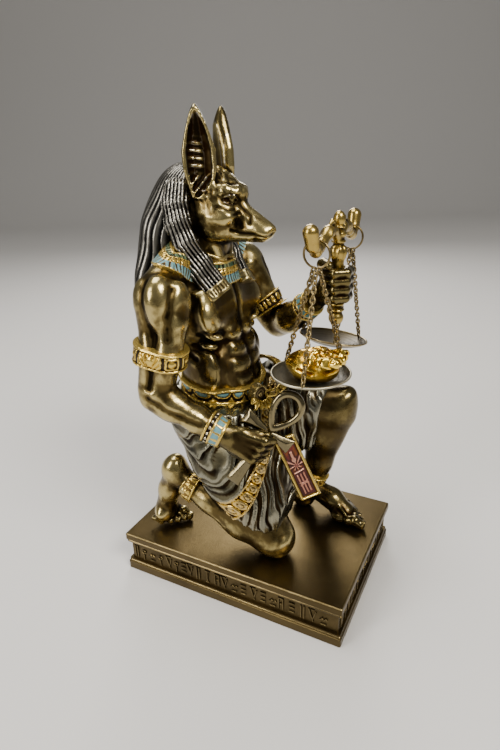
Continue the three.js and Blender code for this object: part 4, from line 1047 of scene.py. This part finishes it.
def edges_of(faces):
    a, b = faces.ravel(), np.roll(faces, -1, axis=1).ravel()
    return np.concatenate([a, b]), np.concatenate([b, a])


def neighbour_mean(points, edges):
    i, j = edges
    count = np.maximum(np.bincount(i, minlength=len(points)), 1)[:, None]
    return np.stack([np.bincount(i, points[j, a], len(points)) for a in range(3)], 1) / count


def fair(points, faces):
    """Smooths the grid's steps away without shrinking."""
    edges = edges_of(faces)
    for amount in (0.5, -0.51):
        points = points + (neighbour_mean(points, edges) - points) * amount
    return points


def quad_normals(points, faces):
    a, b, c, d = points[faces.T]
    return np.cross(c - a, d - b)


def outward(points, faces):
    """The faces in the order that makes a closed surface face outward."""
    out = (quad_normals(points, faces) * (points[faces[:, 0]] - points.mean(0))).sum()
    return faces if out > 0 else faces[:, ::-1]


def relief_of(points, faces, voxel):
    """How far each point stands out (+) or lies in (-), against narrow and against wide surroundings."""
    edges, n = edges_of(faces), len(points)
    flat = quad_normals(points, faces)
    normal = np.zeros((n, 3))
    for k in range(4):
        normal += np.stack([np.bincount(faces[:, k], flat[:, a], n) for a in range(3)], 1)
    normal /= np.maximum(norm(normal), 1e-12)[:, None]
    out, q, rounds = [], points, 0
    for radius in (1.0, 3.2):
        want = max(2, int((radius / voxel) ** 2 * 1.6))
        for _ in range(want - rounds):
            q = neighbour_mean(q, edges)
        rounds = want
        out.append(((points - q) * normal).sum(1) / radius)
    return out


# Meshes and objects
def evenly(colour):
    return lambda p: np.tile(colour, (len(p), 1))


plain = evenly(BARE)


def grid_mesh(name, points, faces):
    me = bpy.data.meshes.new(name)
    n, k = faces.shape
    me.vertices.add(len(points))
    me.vertices.foreach_set("co", (points * MM).astype(np.float32).ravel())
    me.loops.add(n * k)
    me.loops.foreach_set("vertex_index", faces.astype(np.int32).ravel())
    me.polygons.add(n)
    me.polygons.foreach_set("loop_start", np.arange(0, n * k, k, dtype=np.int32))
    me.polygons.foreach_set("use_smooth", np.ones(n, bool))
    me.update(calc_edges=True)
    me.validate()
    return me


def listed_mesh(name, points, faces, smooth=False):
    """A mesh from a list of faces of any size, turned outward."""
    me = bpy.data.meshes.new(name)
    me.from_pydata((points * MM).tolist(), [], faces)
    me.validate()
    me.polygons.foreach_set("use_smooth", [smooth] * len(me.polygons))
    bm = bmesh.new()
    bm.from_mesh(me)
    bmesh.ops.recalc_face_normals(bm, faces=bm.faces)
    bm.to_mesh(me)
    bm.free()
    return me


def link(data):
    o = bpy.data.objects.new(data.name, data)
    bpy.context.scene.collection.objects.link(o)
    return o


def dressed(me, material, fine=0.0, wide=0.0, paint=BARE):
    """The mesh as an object on the one body, with each point's relief and paint for the material."""
    n = len(me.vertices)
    rows = (("paint", "FLOAT_COLOR", "color", paint, (n, 4)), ("fine", "FLOAT", "value", fine, n),
            ("wide", "FLOAT", "value", wide, n))
    for key, kind, field, values, form in rows:
        values = np.broadcast_to(values, form).astype(np.float32).ravel()
        me.attributes.new(key, kind, "POINT").data.foreach_set(field, values)
    me.materials.append(material)
    o = link(me)
    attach(o, "root")
    return o


def stands_for(o, node):
    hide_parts(node)


def piece(name, shape, voxel, material, paint=plain, lo=None, hi=None, smooth=False):
    """A piece from a distance shape, thinned where its surface is flat."""
    points, faces = surface(shape, voxel, lo, hi)
    if smooth:
        points = fair(points, faces)
    faces = outward(points, faces)
    fine, wide = relief_of(points, faces, voxel)
    o = dressed(grid_mesh(name, points, faces), material, fine, wide, paint(points))
    o.modifiers.new("thin", "DECIMATE").ratio = 0.64
    with bpy.context.temp_override(object=o, active_object=o):
        bpy.ops.object.modifier_apply(modifier="thin")
    return o


# Materials
class Wire:
    """A node's output. Arithmetic on it adds Math nodes."""
    def __init__(self, nodes, socket):
        self.nodes, self.socket = nodes, socket

    def __add__(self, other):
        return self.nodes.math("ADD", self, other)

    def __sub__(self, other):
        return self.nodes.math("SUBTRACT", self, other)

    def __rsub__(self, other):
        return self.nodes.math("SUBTRACT", other, self)

    def __mul__(self, other):
        return self.nodes.math("MULTIPLY", self, other)


class Nodes:
    """A material's node tree, with values that are numbers, colours, sizes or wires."""
    def __init__(self, name):
        self.material = bpy.data.materials.new(name)
        self.material.use_nodes = True
        self.tree = self.material.node_tree
        self.tree.nodes.clear()
        output = self.tree.nodes.new("ShaderNodeOutputMaterial")
        self.skin = self.tree.nodes.new("ShaderNodeBsdfPrincipled")
        self.tree.links.new(self.skin.outputs[0], output.inputs[0])
        self.place = self.add("TexCoord", {}, "Object")

    def feed(self, node, inputs):
        for key, value in inputs.items():
            socket = node.inputs[key]
            if isinstance(value, Wire):
                self.tree.links.new(value.socket, socket)
            elif isinstance(value, tuple):
                socket.default_value = (*value, 1.0)[:len(socket.default_value)]
            else:
                socket.default_value = value

    def add(self, kind, inputs, output=0, **settings):
        node = self.tree.nodes.new("ShaderNode" + kind)
        for key, value in settings.items():
            setattr(node, key, value)
        self.feed(node, inputs)
        return Wire(self, node.outputs[output])

    def math(self, operation, a, b):
        return self.add("Math", {0: a, 1: b, 2: 0.0}, operation=operation)

    def ramp(self, value, *limits):
        """From 0 to 1, or to the next two numbers, between the first two."""
        limits = dict(enumerate((*limits, 0.0, 1.0)[:4], 1))
        return self.add("MapRange", {0: value, **limits}, interpolation_type="SMOOTHSTEP")

    def blend(self, share, a, b, mode="MIX"):
        return self.add("Mix", {0: share, 6: a, 7: b}, 2, data_type="RGBA", blend_type=mode)

    def attribute(self, name, output="Fac"):
        return self.add("Attribute", {}, output, attribute_name=name)

    def noise(self, scale, detail, rough=0.55, stretch=None):
        place = self.add("Mapping", {0: self.place, "Scale": stretch}) if stretch else self.place
        return self.add("TexNoise", {"Scale": scale, "Detail": detail, "Roughness": rough, "Vector": place})


def metal(name, tones, rough=0.30, patina=0.35, painted=False, brushed=None, pores=0.10, metallic=1.0,
          wear=1.0, grain=0.5, depth=1.0, glow=(1.0, 0.80, 0.30)):
    """Antique metal: dark where it lies low, rubbed bright where it stands out, with a mottled patina."""
    dark, colour, bright = tones
    w = Nodes(name)
    mottle, cloud = w.noise(95, 5), w.noise(28, 3)
    low = w.attribute("fine") * (2.4 * depth) + w.attribute("wide") * (1.1 * depth)
    speckle = w.noise(330, 3)
    low = low + (mottle - 0.5) * 0.30 + (speckle - 0.5) * (0.30 * grain)
    shade, shine = w.ramp(low, -0.34, -0.02), w.ramp(low, 0.06, 0.42)
    if painted:
        paint, mask = w.attribute("paint", "Color"), w.attribute("paint", "Alpha")
        has, enamel = w.ramp(mask, 0.0, 0.2), w.ramp(mask, 0.45, 0.9)
        colour = w.blend(has, colour, paint)
        dark = w.blend(has, dark, w.blend(1.0, paint, (0.20, 0.13, 0.07), "MULTIPLY"))
        glint = w.ramp(mask, 0.24, 0.29, 0.12, 0.35) - enamel * 0.22
        bright = w.blend(has, bright, w.blend(glint, paint, glow, "SCREEN"))
        metallic = metallic - enamel * (metallic - 0.1)
    colour = w.blend(w.ramp(cloud, 0.36, 0.66) * patina, colour, dark)
    colour = w.blend(shade, dark, colour)
    colour = w.blend(shine * (0.8 * wear), colour, bright)
    rough = (mottle - 0.5) * 0.20 + rough + (1.0 - shade) * 0.25 - shine * 0.08
    height = mottle * 0.6 + w.noise(620, 3) * 0.25 + speckle * (0.8 * grain)
    if brushed:
        height = height + w.noise(160, 4, 0.6, brushed) * 0.7
    bump = w.add("Bump", {"Distance": 0.0006, "Strength": pores, "Height": height})
    w.feed(w.skin, {"Base Color": colour, "Metallic": metallic, "Roughness": rough, "Normal": bump})
    return w.material


# One pan metal in two copies with painted light: a lit copy for the near pan, a shaded copy for the far pan
PAN_PAINTED_LIT = ((0.030, 0.026, 0.017), (0.135, 0.122, 0.085), (0.55, 0.50, 0.36))
PAN_PAINTED_SHADE = ((0.014, 0.010, 0.004), (0.050, 0.037, 0.015), (0.45, 0.35, 0.18))
BRASS = ((0.04, 0.028, 0.010), (0.27, 0.205, 0.095), (0.80, 0.70, 0.44))
HEART_GOLD = ((0.16, 0.055, 0.002), (0.60, 0.31, 0.008), (1.0, 0.74, 0.14))
BEAM_GOLD = ((0.03, 0.018, 0.004), (0.27, 0.180, 0.040), (0.85, 0.62, 0.18))
BLOCK = ((0.016, 0.011, 0.004), (0.112, 0.080, 0.032), (0.42, 0.33, 0.16))
bronze = metal("bronze_skin", BRONZE, 0.31, 0.32, True, depth=1.15, pores=0.26, grain=1.0)
gilded = metal("gilded_trim", GOLD, 0.30, 0.30, True, pores=0.12, metallic=0.82)
pewter = metal("pewter_cloth", PEWTER, 0.33, 0.6, True, depth=1.7, grain=1.2, wear=0.7, glow=(0.85, 0.84, 0.66))
silvered = metal("silvered_hair", HAIR, 0.38, 0.30, True, wear=0.7)
cross_bronze = metal("ankh_metal", BRONZE, 0.25, 0.5, True, wear=0.5, glow=(1.0, 0.86, 0.5))
pan_painted_lit = metal("pan_near_painted_lit", PAN_PAINTED_LIT, 0.42, 0.5, metallic=0.85)
pan_painted_shade = metal("pan_far_painted_shade", PAN_PAINTED_SHADE, 0.36, 0.6)
brass = metal("brass_wire", BRASS, 0.32, 0.5)
heart_gold = metal("heart_gold", HEART_GOLD, 0.25, 0.4)
beam_gold = metal("beam_gold", BEAM_GOLD, 0.34, 0.7, wear=0.5, grain=1.0)
plinth_metal = metal("plinth_bronze", BLOCK, 0.36, brushed=(1.0, 14.0, 14.0), pores=0.16)

# Body, in one piece with the hands
parts = dict(torso=torso(), arm_near=arm_near(), arm_far=arm_far(), throat=throat())
near_leg, far_leg, scales = leg_near(), leg_far(), beam()
# Each fist, a point near it, and the colour of its painted shade
fists = ((hand_near(), (-36, -12, 102), (0.050, 0.035, 0.014, 0.25)),
         (hand_far(), (18, -35, 172), (0.042, 0.030, 0.012, 0.25)))
upper = etch(blend(3, *parts.values()), torso_lines() + arm_lines())
upper = blend(1.5, upper, *[fist for fist, at, tone in fists])


def upper_distance(p):
    skin = upper.d(p) + 0.10 * noise(p, 13, 11) + 0.05 * noise(p, 5, 14)
    by_hand = (p[:, 0] < -30) | ((p[:, 0] < -20) & (p[:, 1] < -6))
    return np.maximum(np.maximum(skin, 103 - 16 * by_hand - p[:, 2]), 0.35 - scales.d(p))


def body_painted_shade(p):
    """Painted shade: darker on the belly and the hands."""
    out = plain(p)
    # Painted shade on the belly, coming in below the chest
    belly = np.clip((152 - p[:, 2]) / 10, 0, 1) * (np.abs(parts["torso"].d(p)) < 2)
    out[belly > 0, :3] = (0.060, 0.042, 0.017)
    out[:, 3] = 0.15 * belly
    # Painted shade on each hand
    for fist, at, tone in fists:
        hand = norm(p - at) < 22
        hand[hand] = np.abs(fist.d(p[hand])) < 1.7
        out[hand] = tone
    return out


trunk = Shape(upper_distance, upper.c, upper.r)
body = piece("body", trunk, 0.8, bronze, body_painted_shade, (-64, -54, 86), (58, 54, 202), smooth=True)
stands_for(body, "figure")

# Head and ears
ears = [ear(s) for s in SIDES]
face = blend(1.5, blend(1.6, head(), *ears), parts["throat"])


def face_paint(p):
    """Darker in the hollows of the ears and round the eyes."""
    out = plain(p)
    for s, leaf in zip(SIDES, ears):
        root, _, across, up, way = ear_axes(s)
        q = p - root
        hollow = (q @ up > 3) & between(q @ way, -4.0, 1.2) & (np.abs(q @ across) < 6)
        out[hollow & (leaf.d(p - 0.8 * way) > -0.75)] = (0.048, 0.033, 0.013, 0.25)
        out[norm((p - side(s, (7.4, 7.6, 215.4))) / (3.4, 4.2, 2.3)) < 1] = (0.050, 0.035, 0.015, 0.25)
    return out


face = clip(face, lambda p: 176 - p[:, 2])
piece("head", face, 0.55, bronze, face_paint, (-26, -14, 174), (26, 46, 259), smooth=True)

# Legs, cut level over the plinth
# The far leg is painted an even darker tone, a painted shade
for name, shapes, paint, lo, hi in (
        ("leg_near", [near_leg, foot_near(), *leg_near_detail()], plain, (-46, -34, 24), (-2, 60, 96)),
        ("leg_far", [far_leg, foot_far()], evenly((0.070, 0.050, 0.020, 0.25)), (2, -64, 24), (42, 16, 118))):
    standing = clip(blend(1.5, *shapes), lambda p: STAND - 0.25 - p[:, 2])
    piece(name, standing, 0.62, bronze, paint, lo, hi, smooth=True)


# Head cloth
def lappet_paint(s):
    end, aim = lappet_end(s)

    def paint(p):
        out = plain(p)
        out[(p - end) @ aim > -5.5] = (0.20, 0.165, 0.085, 0.35)
        return out
    return paint


piece("hair", hair(), 0.5, silvered, plain, (-36, 26, 150), (36, 70, 236))
for s, name in zip(SIDES, ("lappet_near", "lappet_far")):
    low, high = sorted((s * 6, s * 27))
    piece(name, lappet(s), 0.42, silvered, lappet_paint(s), (low, 4, 162), (high, 42, 226))

# Kilt, looped cross, painted panel, heart and beam
cloth = kilt_cloth()


def streaks(p, edge):
    """Long stains that run down the folds, -1 to 1."""
    sweep = edge + 0.16 * (p[:, 2] - 90) + 1.6 * noise(p, 34, 3)
    over = np.stack([sweep, 0.12 * (p @ BORDER_RUN), 0.10 * p[:, 1]], 1)
    under = np.stack([0.45 * p[:, 0] - 0.89 * p[:, 1], 0.10 * p[:, 2], 0.1 * p[:, 0]], 1)
    return np.where(edge < 0, noise(over, 2.8, 31), noise(under, 2.6, 32))


def kilt_paint(p):
    """Stained cloth, with a painted shade on the far thigh, and a gilt border."""
    edge = overlap(p)
    thigh = (p[:, 0] > 1) & (p[:, 2] > 76) & (p[:, 1] < 4)
    # The middle tone, for the far thigh, is darker as painted shade
    tones = arr([(0.086, 0.077, 0.046), (0.070, 0.056, 0.031), (0.092, 0.078, 0.046)])
    stain = 1 + 0.9 * streaks(p, edge) + 0.3 * noise(p, 16, 33)
    colour = tones[np.select([edge < 0, thigh], [0, 1], 2)] * stain[:, None]
    out = np.concatenate([np.clip(colour, 0.01, 1), np.full((len(p), 1), 0.3)], 1)
    trim = between(edge, -BORDER_WIDE, -0.1) & (cloth.d(p) > 0.7)
    gilt = border_relief(p[trim], edge[trim])[1] == GILT
    out[trim] = np.where(gilt[:, None], GILDING, (0.085, 0.05, 0.012, 0.35))
    return out


def ankh_paint(p):
    # One bronze in two tones: the loop lighter as a painted highlight, the arms darker as painted shade
    loop = (p - CROSS) @ ankh_axes()[1] > 0.5
    return np.where(loop[:, None], (0.110, 0.085, 0.038, 0.3), (0.046, 0.034, 0.014, 0.3))


piece("kilt", kilt(cloth, parts["torso"]), 0.6, pewter, kilt_paint, (-52, -42, 40), (46, 54, 122))
piece("looped_cross", ankh(), 0.42, cross_bronze, ankh_paint)
piece("pendant", pendant(), 0.36, gilded, pendant_paint)
stands_for(piece("heart_form", heart(), 0.42, heart_gold, smooth=True), "heart")
stands_for(piece("scale_arms", scales, 0.45, beam_gold, smooth=True), "scale_beam")

# Jewellery: name, limb, centre, aim, start of the turn, half width, thickness, reach, relief and grid step
FRONT, SIDEWAYS = (0, -1, 0), (1, 0, 0)
BANDS = [
    ("belt", parts["torso"], (0, 14, 116.9), (0, -0.15, 1), FRONT, 4.5, 1.9, 40, belt_relief, 0.5),
    ("armlet_near", parts["arm_near"], (-48, 27.5, 147.5), (0.02, -0.15, 1), SIDEWAYS, 4.6, 2, 17,
     square_relief, 0.42),
    ("armlet_far", parts["arm_far"], (38, 12, 152), (-0.1, 0.55, 0.8), SIDEWAYS, 4, 1.3, 16, lump_relief, 0.42),
    ("cuff_near", parts["arm_near"], mix(ELBOW_R, WRIST_R, 1.02), ELBOW_R - WRIST_R, SIDEWAYS, 4.8, 1.2, 12,
     cuff_relief, 0.4),
    ("cuff_far", parts["arm_far"], mix(ELBOW_L, WRIST_L, 0.86), ELBOW_L - WRIST_L, SIDEWAYS, 4.2, 1.2, 12,
     cuff_relief, 0.42),
    ("anklet_near", near_leg, ANKLE_R + (0, 1.2, 0.6), ANKLE_R - KNEE_R, SIDEWAYS, 4.2, 1.5, 12,
     anklet_relief, 0.42),
    ("anklet_far", far_leg, ANKLE_L + (0, -0.6, 5), KNEE_L - ANKLE_L, SIDEWAYS, 3, 1.2, 11,
     anklet_relief, 0.45),
]


def band_paint(place, half, relief):
    return lambda p: KIND_PAINTS[relief(*band_place(p, place, half))[1]]


def ribbon_paint(frame, relief):
    return lambda p: KIND_PAINTS[relief(*ribbon_place(p, frame))[1]]


def throat_paint(p):
    green = np.abs((p - THROAT_AT) @ THROAT_AIM + 0.9) < 0.85
    return np.where(green[:, None], (0.085, 0.125, 0.05, 0.35), (0.20, 0.13, 0.04, 0.35))


for name, base, at, aim, start, half, thick, reach, relief, voxel in BANDS:
    place = band_frame(at, aim, start)
    piece(name, band(base, place, half, thick, reach, relief), voxel, gilded, band_paint(place, half, relief),
          place[0] - reach, place[0] + reach)

chest = blend(8, *parts.values())
collar_frame = ribbon_frame(chest, COLLAR_EDGE, (0, 28, 192))
collar = ribbon(chest, collar_frame, 0, 12, 0.8, collar_relief, (0, 28, 182), 46)
piece("collar", collar, 0.42, gilded, ribbon_paint(collar_frame, collar_relief), (-44, 6, 166), (44, 56, 200))
piece("throat_rings", throat_rings(parts["throat"]), 0.45, gilded, throat_paint)
waist = lift(cloth, lambda p: 0.9)
piece("belt_petals", petals(waist), 0.36, gilded, evenly(GILDING))
trim_frame = ribbon_frame(waist, HIP_TRIM, (0, -30, 100))
trim = ribbon(waist, trim_frame, -2.3, 2.3, 0.7, trim_relief, (10, 0, 118), 28)
piece("hip_trim", trim, 0.42, gilded, ribbon_paint(trim_frame, trim_relief))
piece("belt_disc", belt_disc(), 0.4, gilded, evenly((0.075, 0.048, 0.018, 0.3)))


# Rings, pans and chains, from rings of points
def quads_of(rings, closed=False):
    """The points and the quads between the rings, also from the last to the first for closed."""
    rings = arr(rings)
    m, n = rings.shape[:2]
    i, j = np.meshgrid(np.arange(m if closed else m - 1), np.arange(n), indexing="ij")
    row, after = (i + 1) % m * n, (j + 1) % n
    return rings.reshape(-1, 3), np.stack([i * n + j, i * n + after, row + after, row + j], -1).reshape(-1, 4)


def capped(rings):
    """As quads_of, with a face over each end."""
    points, quads = quads_of(rings)
    n, last = len(rings[0]), len(points)
    return points, quads.tolist() + [list(range(n))[::-1], list(range(last - n, last))]


def joined(chunks):
    starts = np.cumsum([0] + [len(points) for points, _ in chunks])
    faces = [np.asarray(faces) + start for (_, faces), start in zip(chunks, starts)]
    return np.concatenate([points for points, _ in chunks]), np.concatenate(faces)


def tube_loop(path, wire, sides):
    """A closed wire along a closed path of points."""
    run = np.roll(path, -1, axis=0) - np.roll(path, 1, axis=0)
    run /= norm(run)[:, None]
    spokes = path - path.mean(0)
    plane = unit(np.cross(spokes[0], spokes[len(path) // 4]))
    a = ring_turns(sides)[:, None]
    across = np.cross(run, plane)[:, None]
    points, faces = quads_of(path[:, None] + wire * (np.cos(a) * across + np.sin(a) * plane), closed=True)
    return points, outward(points, faces)


def tilt(turn):
    x, y = [math.radians(t) for t in turn]
    return np.array(Matrix.Rotation(x, 3, "X") @ Matrix.Rotation(y, 3, "Y"))


def pan(name, centre, turn, material):
    """A shallow dish with a rounded edge."""
    def bowl(start, end, drop):
        return [(PAN_R * t, -PAN_DEPTH * (1 - t * t) - drop) for t in np.linspace(start, end, 16)]
    rim = ((-0.55, 0.02), (-0.15, 0.3), (0.3, 0.24), (0.52, -0.1), (0.46, -0.5), (0.1, -0.75))
    rim = [(PAN_R + out, z) for out, z in rim]
    sides = 96
    a = ring_turns(sides)
    outline = bowl(0.02, 0.95, 0) + rim + bowl(0.93, 0.02, PAN_WALL)
    points, quads = quads_of([np.stack([r * np.cos(a), r * np.sin(a), z + 0 * a], 1) for r, z in outline])
    n = len(points)
    points = np.concatenate([points, [points[:sides].mean(0), points[-sides:].mean(0)]])
    turns = [(j, (j + 1) % sides) for j in range(sides)]
    fans = [(n, k, j) for j, k in turns] + [(n + 1, n - sides + j, n - sides + k) for j, k in turns]
    r = np.hypot(points[:, 0], points[:, 1])
    # A painted highlight on the rim, with faint rings over the dish
    painted_highlight = np.where(r > PAN_R - 0.5, 0.35, -0.02) + 0.05 * np.sin(r * 2.2)
    me = listed_mesh(name + "_dish", points @ tilt(turn).T + centre, quads.tolist() + fans, smooth=True)
    stands_for(dressed(me, material, painted_highlight), name)


def wire_ring(name, centre):
    t = ring_turns(72)
    points, faces = tube_loop(centre + RING_R * np.stack([0 * t, np.cos(t), np.sin(t)], 1), RING_WIRE, 14)
    stands_for(dressed(grid_mesh(name + "_wire", points, faces), brass), name)


def link_loop(a, b, turn):
    """One oval link from a to b, its flat side turned about the line between them."""
    w = unit(b - a)
    u = unit(np.cross((0.3, 1, 0.1), w))
    across = math.cos(turn) * u + math.sin(turn) * np.cross(w, u)
    t = ring_turns(14)
    reach = np.linalg.norm(b - a) / 2
    path = (a + b) / 2 + np.outer(np.cos(t) * reach, w) + np.outer(np.sin(t) * LINK_HALF, across)
    return tube_loop(path, LINK_WIRE, 7)


def chain(name, foot, top):
    """Links from the foot to the top, each reaching into its neighbours and turned against them."""
    count = round(np.linalg.norm(top - foot) / LINK_LENGTH)
    chunks = []
    for i in range(count):
        lo, hi = max((i - 0.22) / count, -0.004), min((i + 1.22) / count, 1.004)
        chunks.append(link_loop(mix(foot, top, lo), mix(foot, top, hi), 0.45 * math.pi * i))
    stands_for(dressed(grid_mesh(name + "_links", *joined(chunks)), brass), name)


def hang(name, ring, centre, turn, degrees):
    """Three chains from the pan's edge to the ring."""
    for i, angle in enumerate(np.radians(degrees), 1):
        out = arr((math.cos(angle), math.sin(angle), 0))
        foot = tilt(turn) @ (out * (PAN_R - 0.2)) + centre + (0, 0, 0.25)
        chain(f"{name}_{i}", foot, ring + out * (0.9, 1.5, 0) + (0, 0, 0.15 - RING_R))


wire_ring("ring_near", DROP_NEAR)
wire_ring("ring_far", DROP_FAR)
# The near pan takes the painted lit copy, the far pan the painted shaded copy
pan("pan_near", PAN_NEAR, LEVEL, pan_painted_lit)
pan("pan_far", PAN_FAR, FAR_TURN, pan_painted_shade)
hang("chain_near", DROP_NEAR, PAN_NEAR, LEVEL, (62, 190, 322))
hang("chain_far", DROP_FAR, PAN_FAR, FAR_TURN, (325, 88, 200))


# Plinth: moulded block, and raised strokes in its band
def plinth():
    keys = ("length", "width", "height", "foot", "ledge", "recess", "bead")
    length, width, height, foot, ledge, recess, bead = [PLINTH[key] for key in keys]
    # The two beads carry a painted highlight; edge brightens the top edge and sunk darkens the recess
    painted_highlight, edge, sunk, radius = 0.12, 0.096, -0.03, 0.9
    steps = [(0, 0.4, 0), (0.4, 0, 0),
             (foot - bead, 0, 0), (foot - bead + 0.15, 0.35, 0), (foot - 0.4, 0.5, 0), (foot, 0.9, painted_highlight),
             (foot + 0.4, 0.55, 0), (foot + bead, 0.7, 0), (foot + bead, recess, sunk),
             (ledge - bead, recess, sunk), (ledge - bead, 0.7, 0), (ledge - 0.5, 0.5, 0),
             (ledge, 0.95, painted_highlight), (ledge + 0.5, 0.6, 0), (ledge + 0.9, 0.1, 0), (ledge + 1.2, 0, 0),
             (height - 0.8, 0, 0), (height - 0.4, 0.15, edge), (height - 0.15, 0.4, edge), (height, 0.8, 0)]
    rings = []
    for z, inset, _ in steps:
        x, y, ring = width / 2 - inset - radius, length / 2 - inset - radius, []
        for sx, sy, start in ((1, 1, 0), (-1, 1, 90), (-1, -1, 180), (1, -1, 270)):
            for a in np.radians(start + 30 * np.arange(4)):
                ring.append((sx * x + radius * math.cos(a), sy * y + radius * math.sin(a), z))
        rings.append(ring)
    fine = np.repeat([relief for _, _, relief in steps], len(rings[0]))
    wide = np.where(fine < 0, -0.025, 0)
    block = dressed(listed_mesh("plinth_block", *capped(rings)), plinth_metal, fine, wide)
    stands_for(block, "plinth")


def bar(x, z, half_wide, half_tall, turn):
    """Rings of a small bevelled bar that stands out of the plane y = 0 towards -Y."""
    c, s, bevel, deep = math.cos(turn), math.sin(turn), 0.12, 0.8
    rings = []
    for grow, out in ((bevel, 0), (bevel, 0.35 * deep), (-bevel, deep)):
        wide, tall = half_wide + grow, half_tall + grow
        corners = ((-wide, -tall), (wide, -tall), (wide, tall), (-wide, tall))
        rings.append([(x + c * u - s * v, -out, z + s * u + c * v) for u, v in corners])
    return arr(rings)


def marks(h):
    """Groups of bars for a band of half height h. Each bar: x, z, half width, half height and turn."""
    zigzag = [(k - 1.5, 0.35 * tip, 0.72, 0.28, -0.75 * tip) for k, tip in enumerate((-1, 1, -1, 1))]
    wheel = [(1.2 * math.cos(a), 1.2 * math.sin(a) + 0.8, 0.55, 0.26, a + math.pi / 2) for a in ring_turns(8)]
    return [
        [(0, k * h * 0.55, 1.5, 0.32, 0) for k in (-1, 0, 1)],
        [(k * 0.9, 0, 0.34, h * 0.8, 0) for k in SIDES],
        [(0, h * 0.1, 0.34, h * 0.72, 0), (0, h * 0.7, 1.5, 0.32, 0), (0, -h * 0.72, 1.1, 0.32, 0)],
        zigzag + [(0, -h * 0.65, 1.6, 0.3, 0)],
        wheel + [(0, -h * 0.6, 0.3, h * 0.35, 0)],
        [(-0.8, 0, 0.32, h * 0.8, 0.3), (0.8, -0.3, 0.32, h * 0.6, -0.3), (0, h * 0.75, 0.9, 0.3, 0.15)],
        [(-1.3, 0, 0.3, h * 0.7, 0), (1.3, 0, 0.3, h * 0.7, 0), (0, h * 0.7, 1.5, 0.3, 0),
         (0, 0, 0.45, 0.45, 0.78)],
    ]


def strokes():
    """Rows of strokes, which aren't letters, in the recess of the four sides."""
    rng = random.Random(21)
    low, high = PLINTH["foot"] + PLINTH["bead"] + 0.9, PLINTH["ledge"] - PLINTH["bead"] - 0.9
    middle, groups = (low + high) / 2, marks((high - low) / 2)
    sizes = (PLINTH["length"], PLINTH["width"])
    chunks = []
    for turn, (long, across) in zip((-90, 0, 90, 180), (sizes, sizes[::-1]) * 2):
        spin = np.array(Matrix.Rotation(math.radians(turn), 3, "Z")).T
        floor = PLINTH["recess"] + 0.05 - across / 2
        x, last = 6 - long / 2, -1
        while x < long / 2 - 5:
            last = rng.choice([k for k in range(len(groups)) if k != last])
            for dx, dz, *size in groups[last]:
                chunks.append(capped((bar(x + dx, middle + dz, *size) + (0, floor, 0)) @ spin))
            x += rng.uniform(4.6, 6.6)
    points, faces = joined(chunks)
    top = np.arange(len(points)) % 12 >= 8
    dressed(listed_mesh("plinth_strokes", points, faces.tolist()), plinth_metal, np.where(top, 0.07, -0.14))


plinth()
strokes()


# Floor, light and camera
def floor():
    """A pale sheet, level in front and curved up behind."""
    half, front, back, radius, top = 3.0, -2.4, 1.6, 0.9, 2.2
    turns = np.radians(range(0, 91, 3))
    curve = [(back + radius * math.sin(a), radius - radius * math.cos(a)) for a in turns]
    outline = [(front, 0), *curve, (back + radius, top)]
    n = len(outline)
    me = bpy.data.meshes.new("floor")
    points = [(x, y, z) for x in (-half, half) for y, z in outline]
    me.from_pydata(points, [], [(i, i + n, i + n + 1, i + 1) for i in range(n - 1)])
    me.polygons.foreach_set("use_smooth", [True] * (n - 1))
    pale = bpy.data.materials.new("pale_floor")
    pale.use_nodes = True
    skin = pale.node_tree.nodes["Principled BSDF"]
    skin.inputs["Base Color"].default_value = (0.62, 0.61, 0.60, 1)
    skin.inputs["Roughness"].default_value = 0.7
    me.materials.append(pale)
    sheet = link(me)
    sheet.rotation_euler = (0, 0, math.radians(-62))


def lamp(name, at, aim, size, power, colour):
    light = bpy.data.lights.new(name, "AREA")
    light.shape = "RECTANGLE"
    light.size, light.size_y = size
    light.energy = power
    light.color = colour
    o = link(light)
    o.location = at
    o.rotation_euler = (Vector(aim) - Vector(at)).to_track_quat("-Z", "Y").to_euler()


floor()
lamp("key", (-0.35, -0.75, 0.95), (0, 0, 0.12), (0.5, 0.35), 15, (1.0, 0.95, 0.86))
lamp("top", (-0.05, 0.25, 1.1), (0, 0, 0.1), (0.6, 0.6), 9, (1.0, 0.97, 0.92))
lamp("left", (-0.9, 0.55, 0.55), (0, 0, 0.14), (0.25, 0.6), 7, (1.0, 0.95, 0.88))
lamp("rim", (0.75, 0.35, 0.6), (0, 0, 0.15), (0.3, 0.6), 5, (1.0, 0.97, 0.93))
world = bpy.data.worlds.new("studio")
world.use_nodes = True
surround = world.node_tree.nodes["Background"].inputs
surround["Color"].default_value = (0.95, 0.93, 0.88, 1)
surround["Strength"].default_value = 0.21
bpy.context.scene.world = world

view = bpy.data.cameras.new("view")
view.lens = 25.52
view.sensor_width = 36
view.clip_start = 0.01
camera = link(view)
forward, above = Vector((0.8132, 0.4269, -0.3957)), Vector((0.3648, 0.1561, 0.9179))
axes = Matrix((forward.cross(above), above, -forward)).transposed().to_4x4()
camera.matrix_world = Matrix.Translation(Vector((-240.0, -121.4, 238.6)) * MM) @ axes
bpy.context.scene.camera = camera
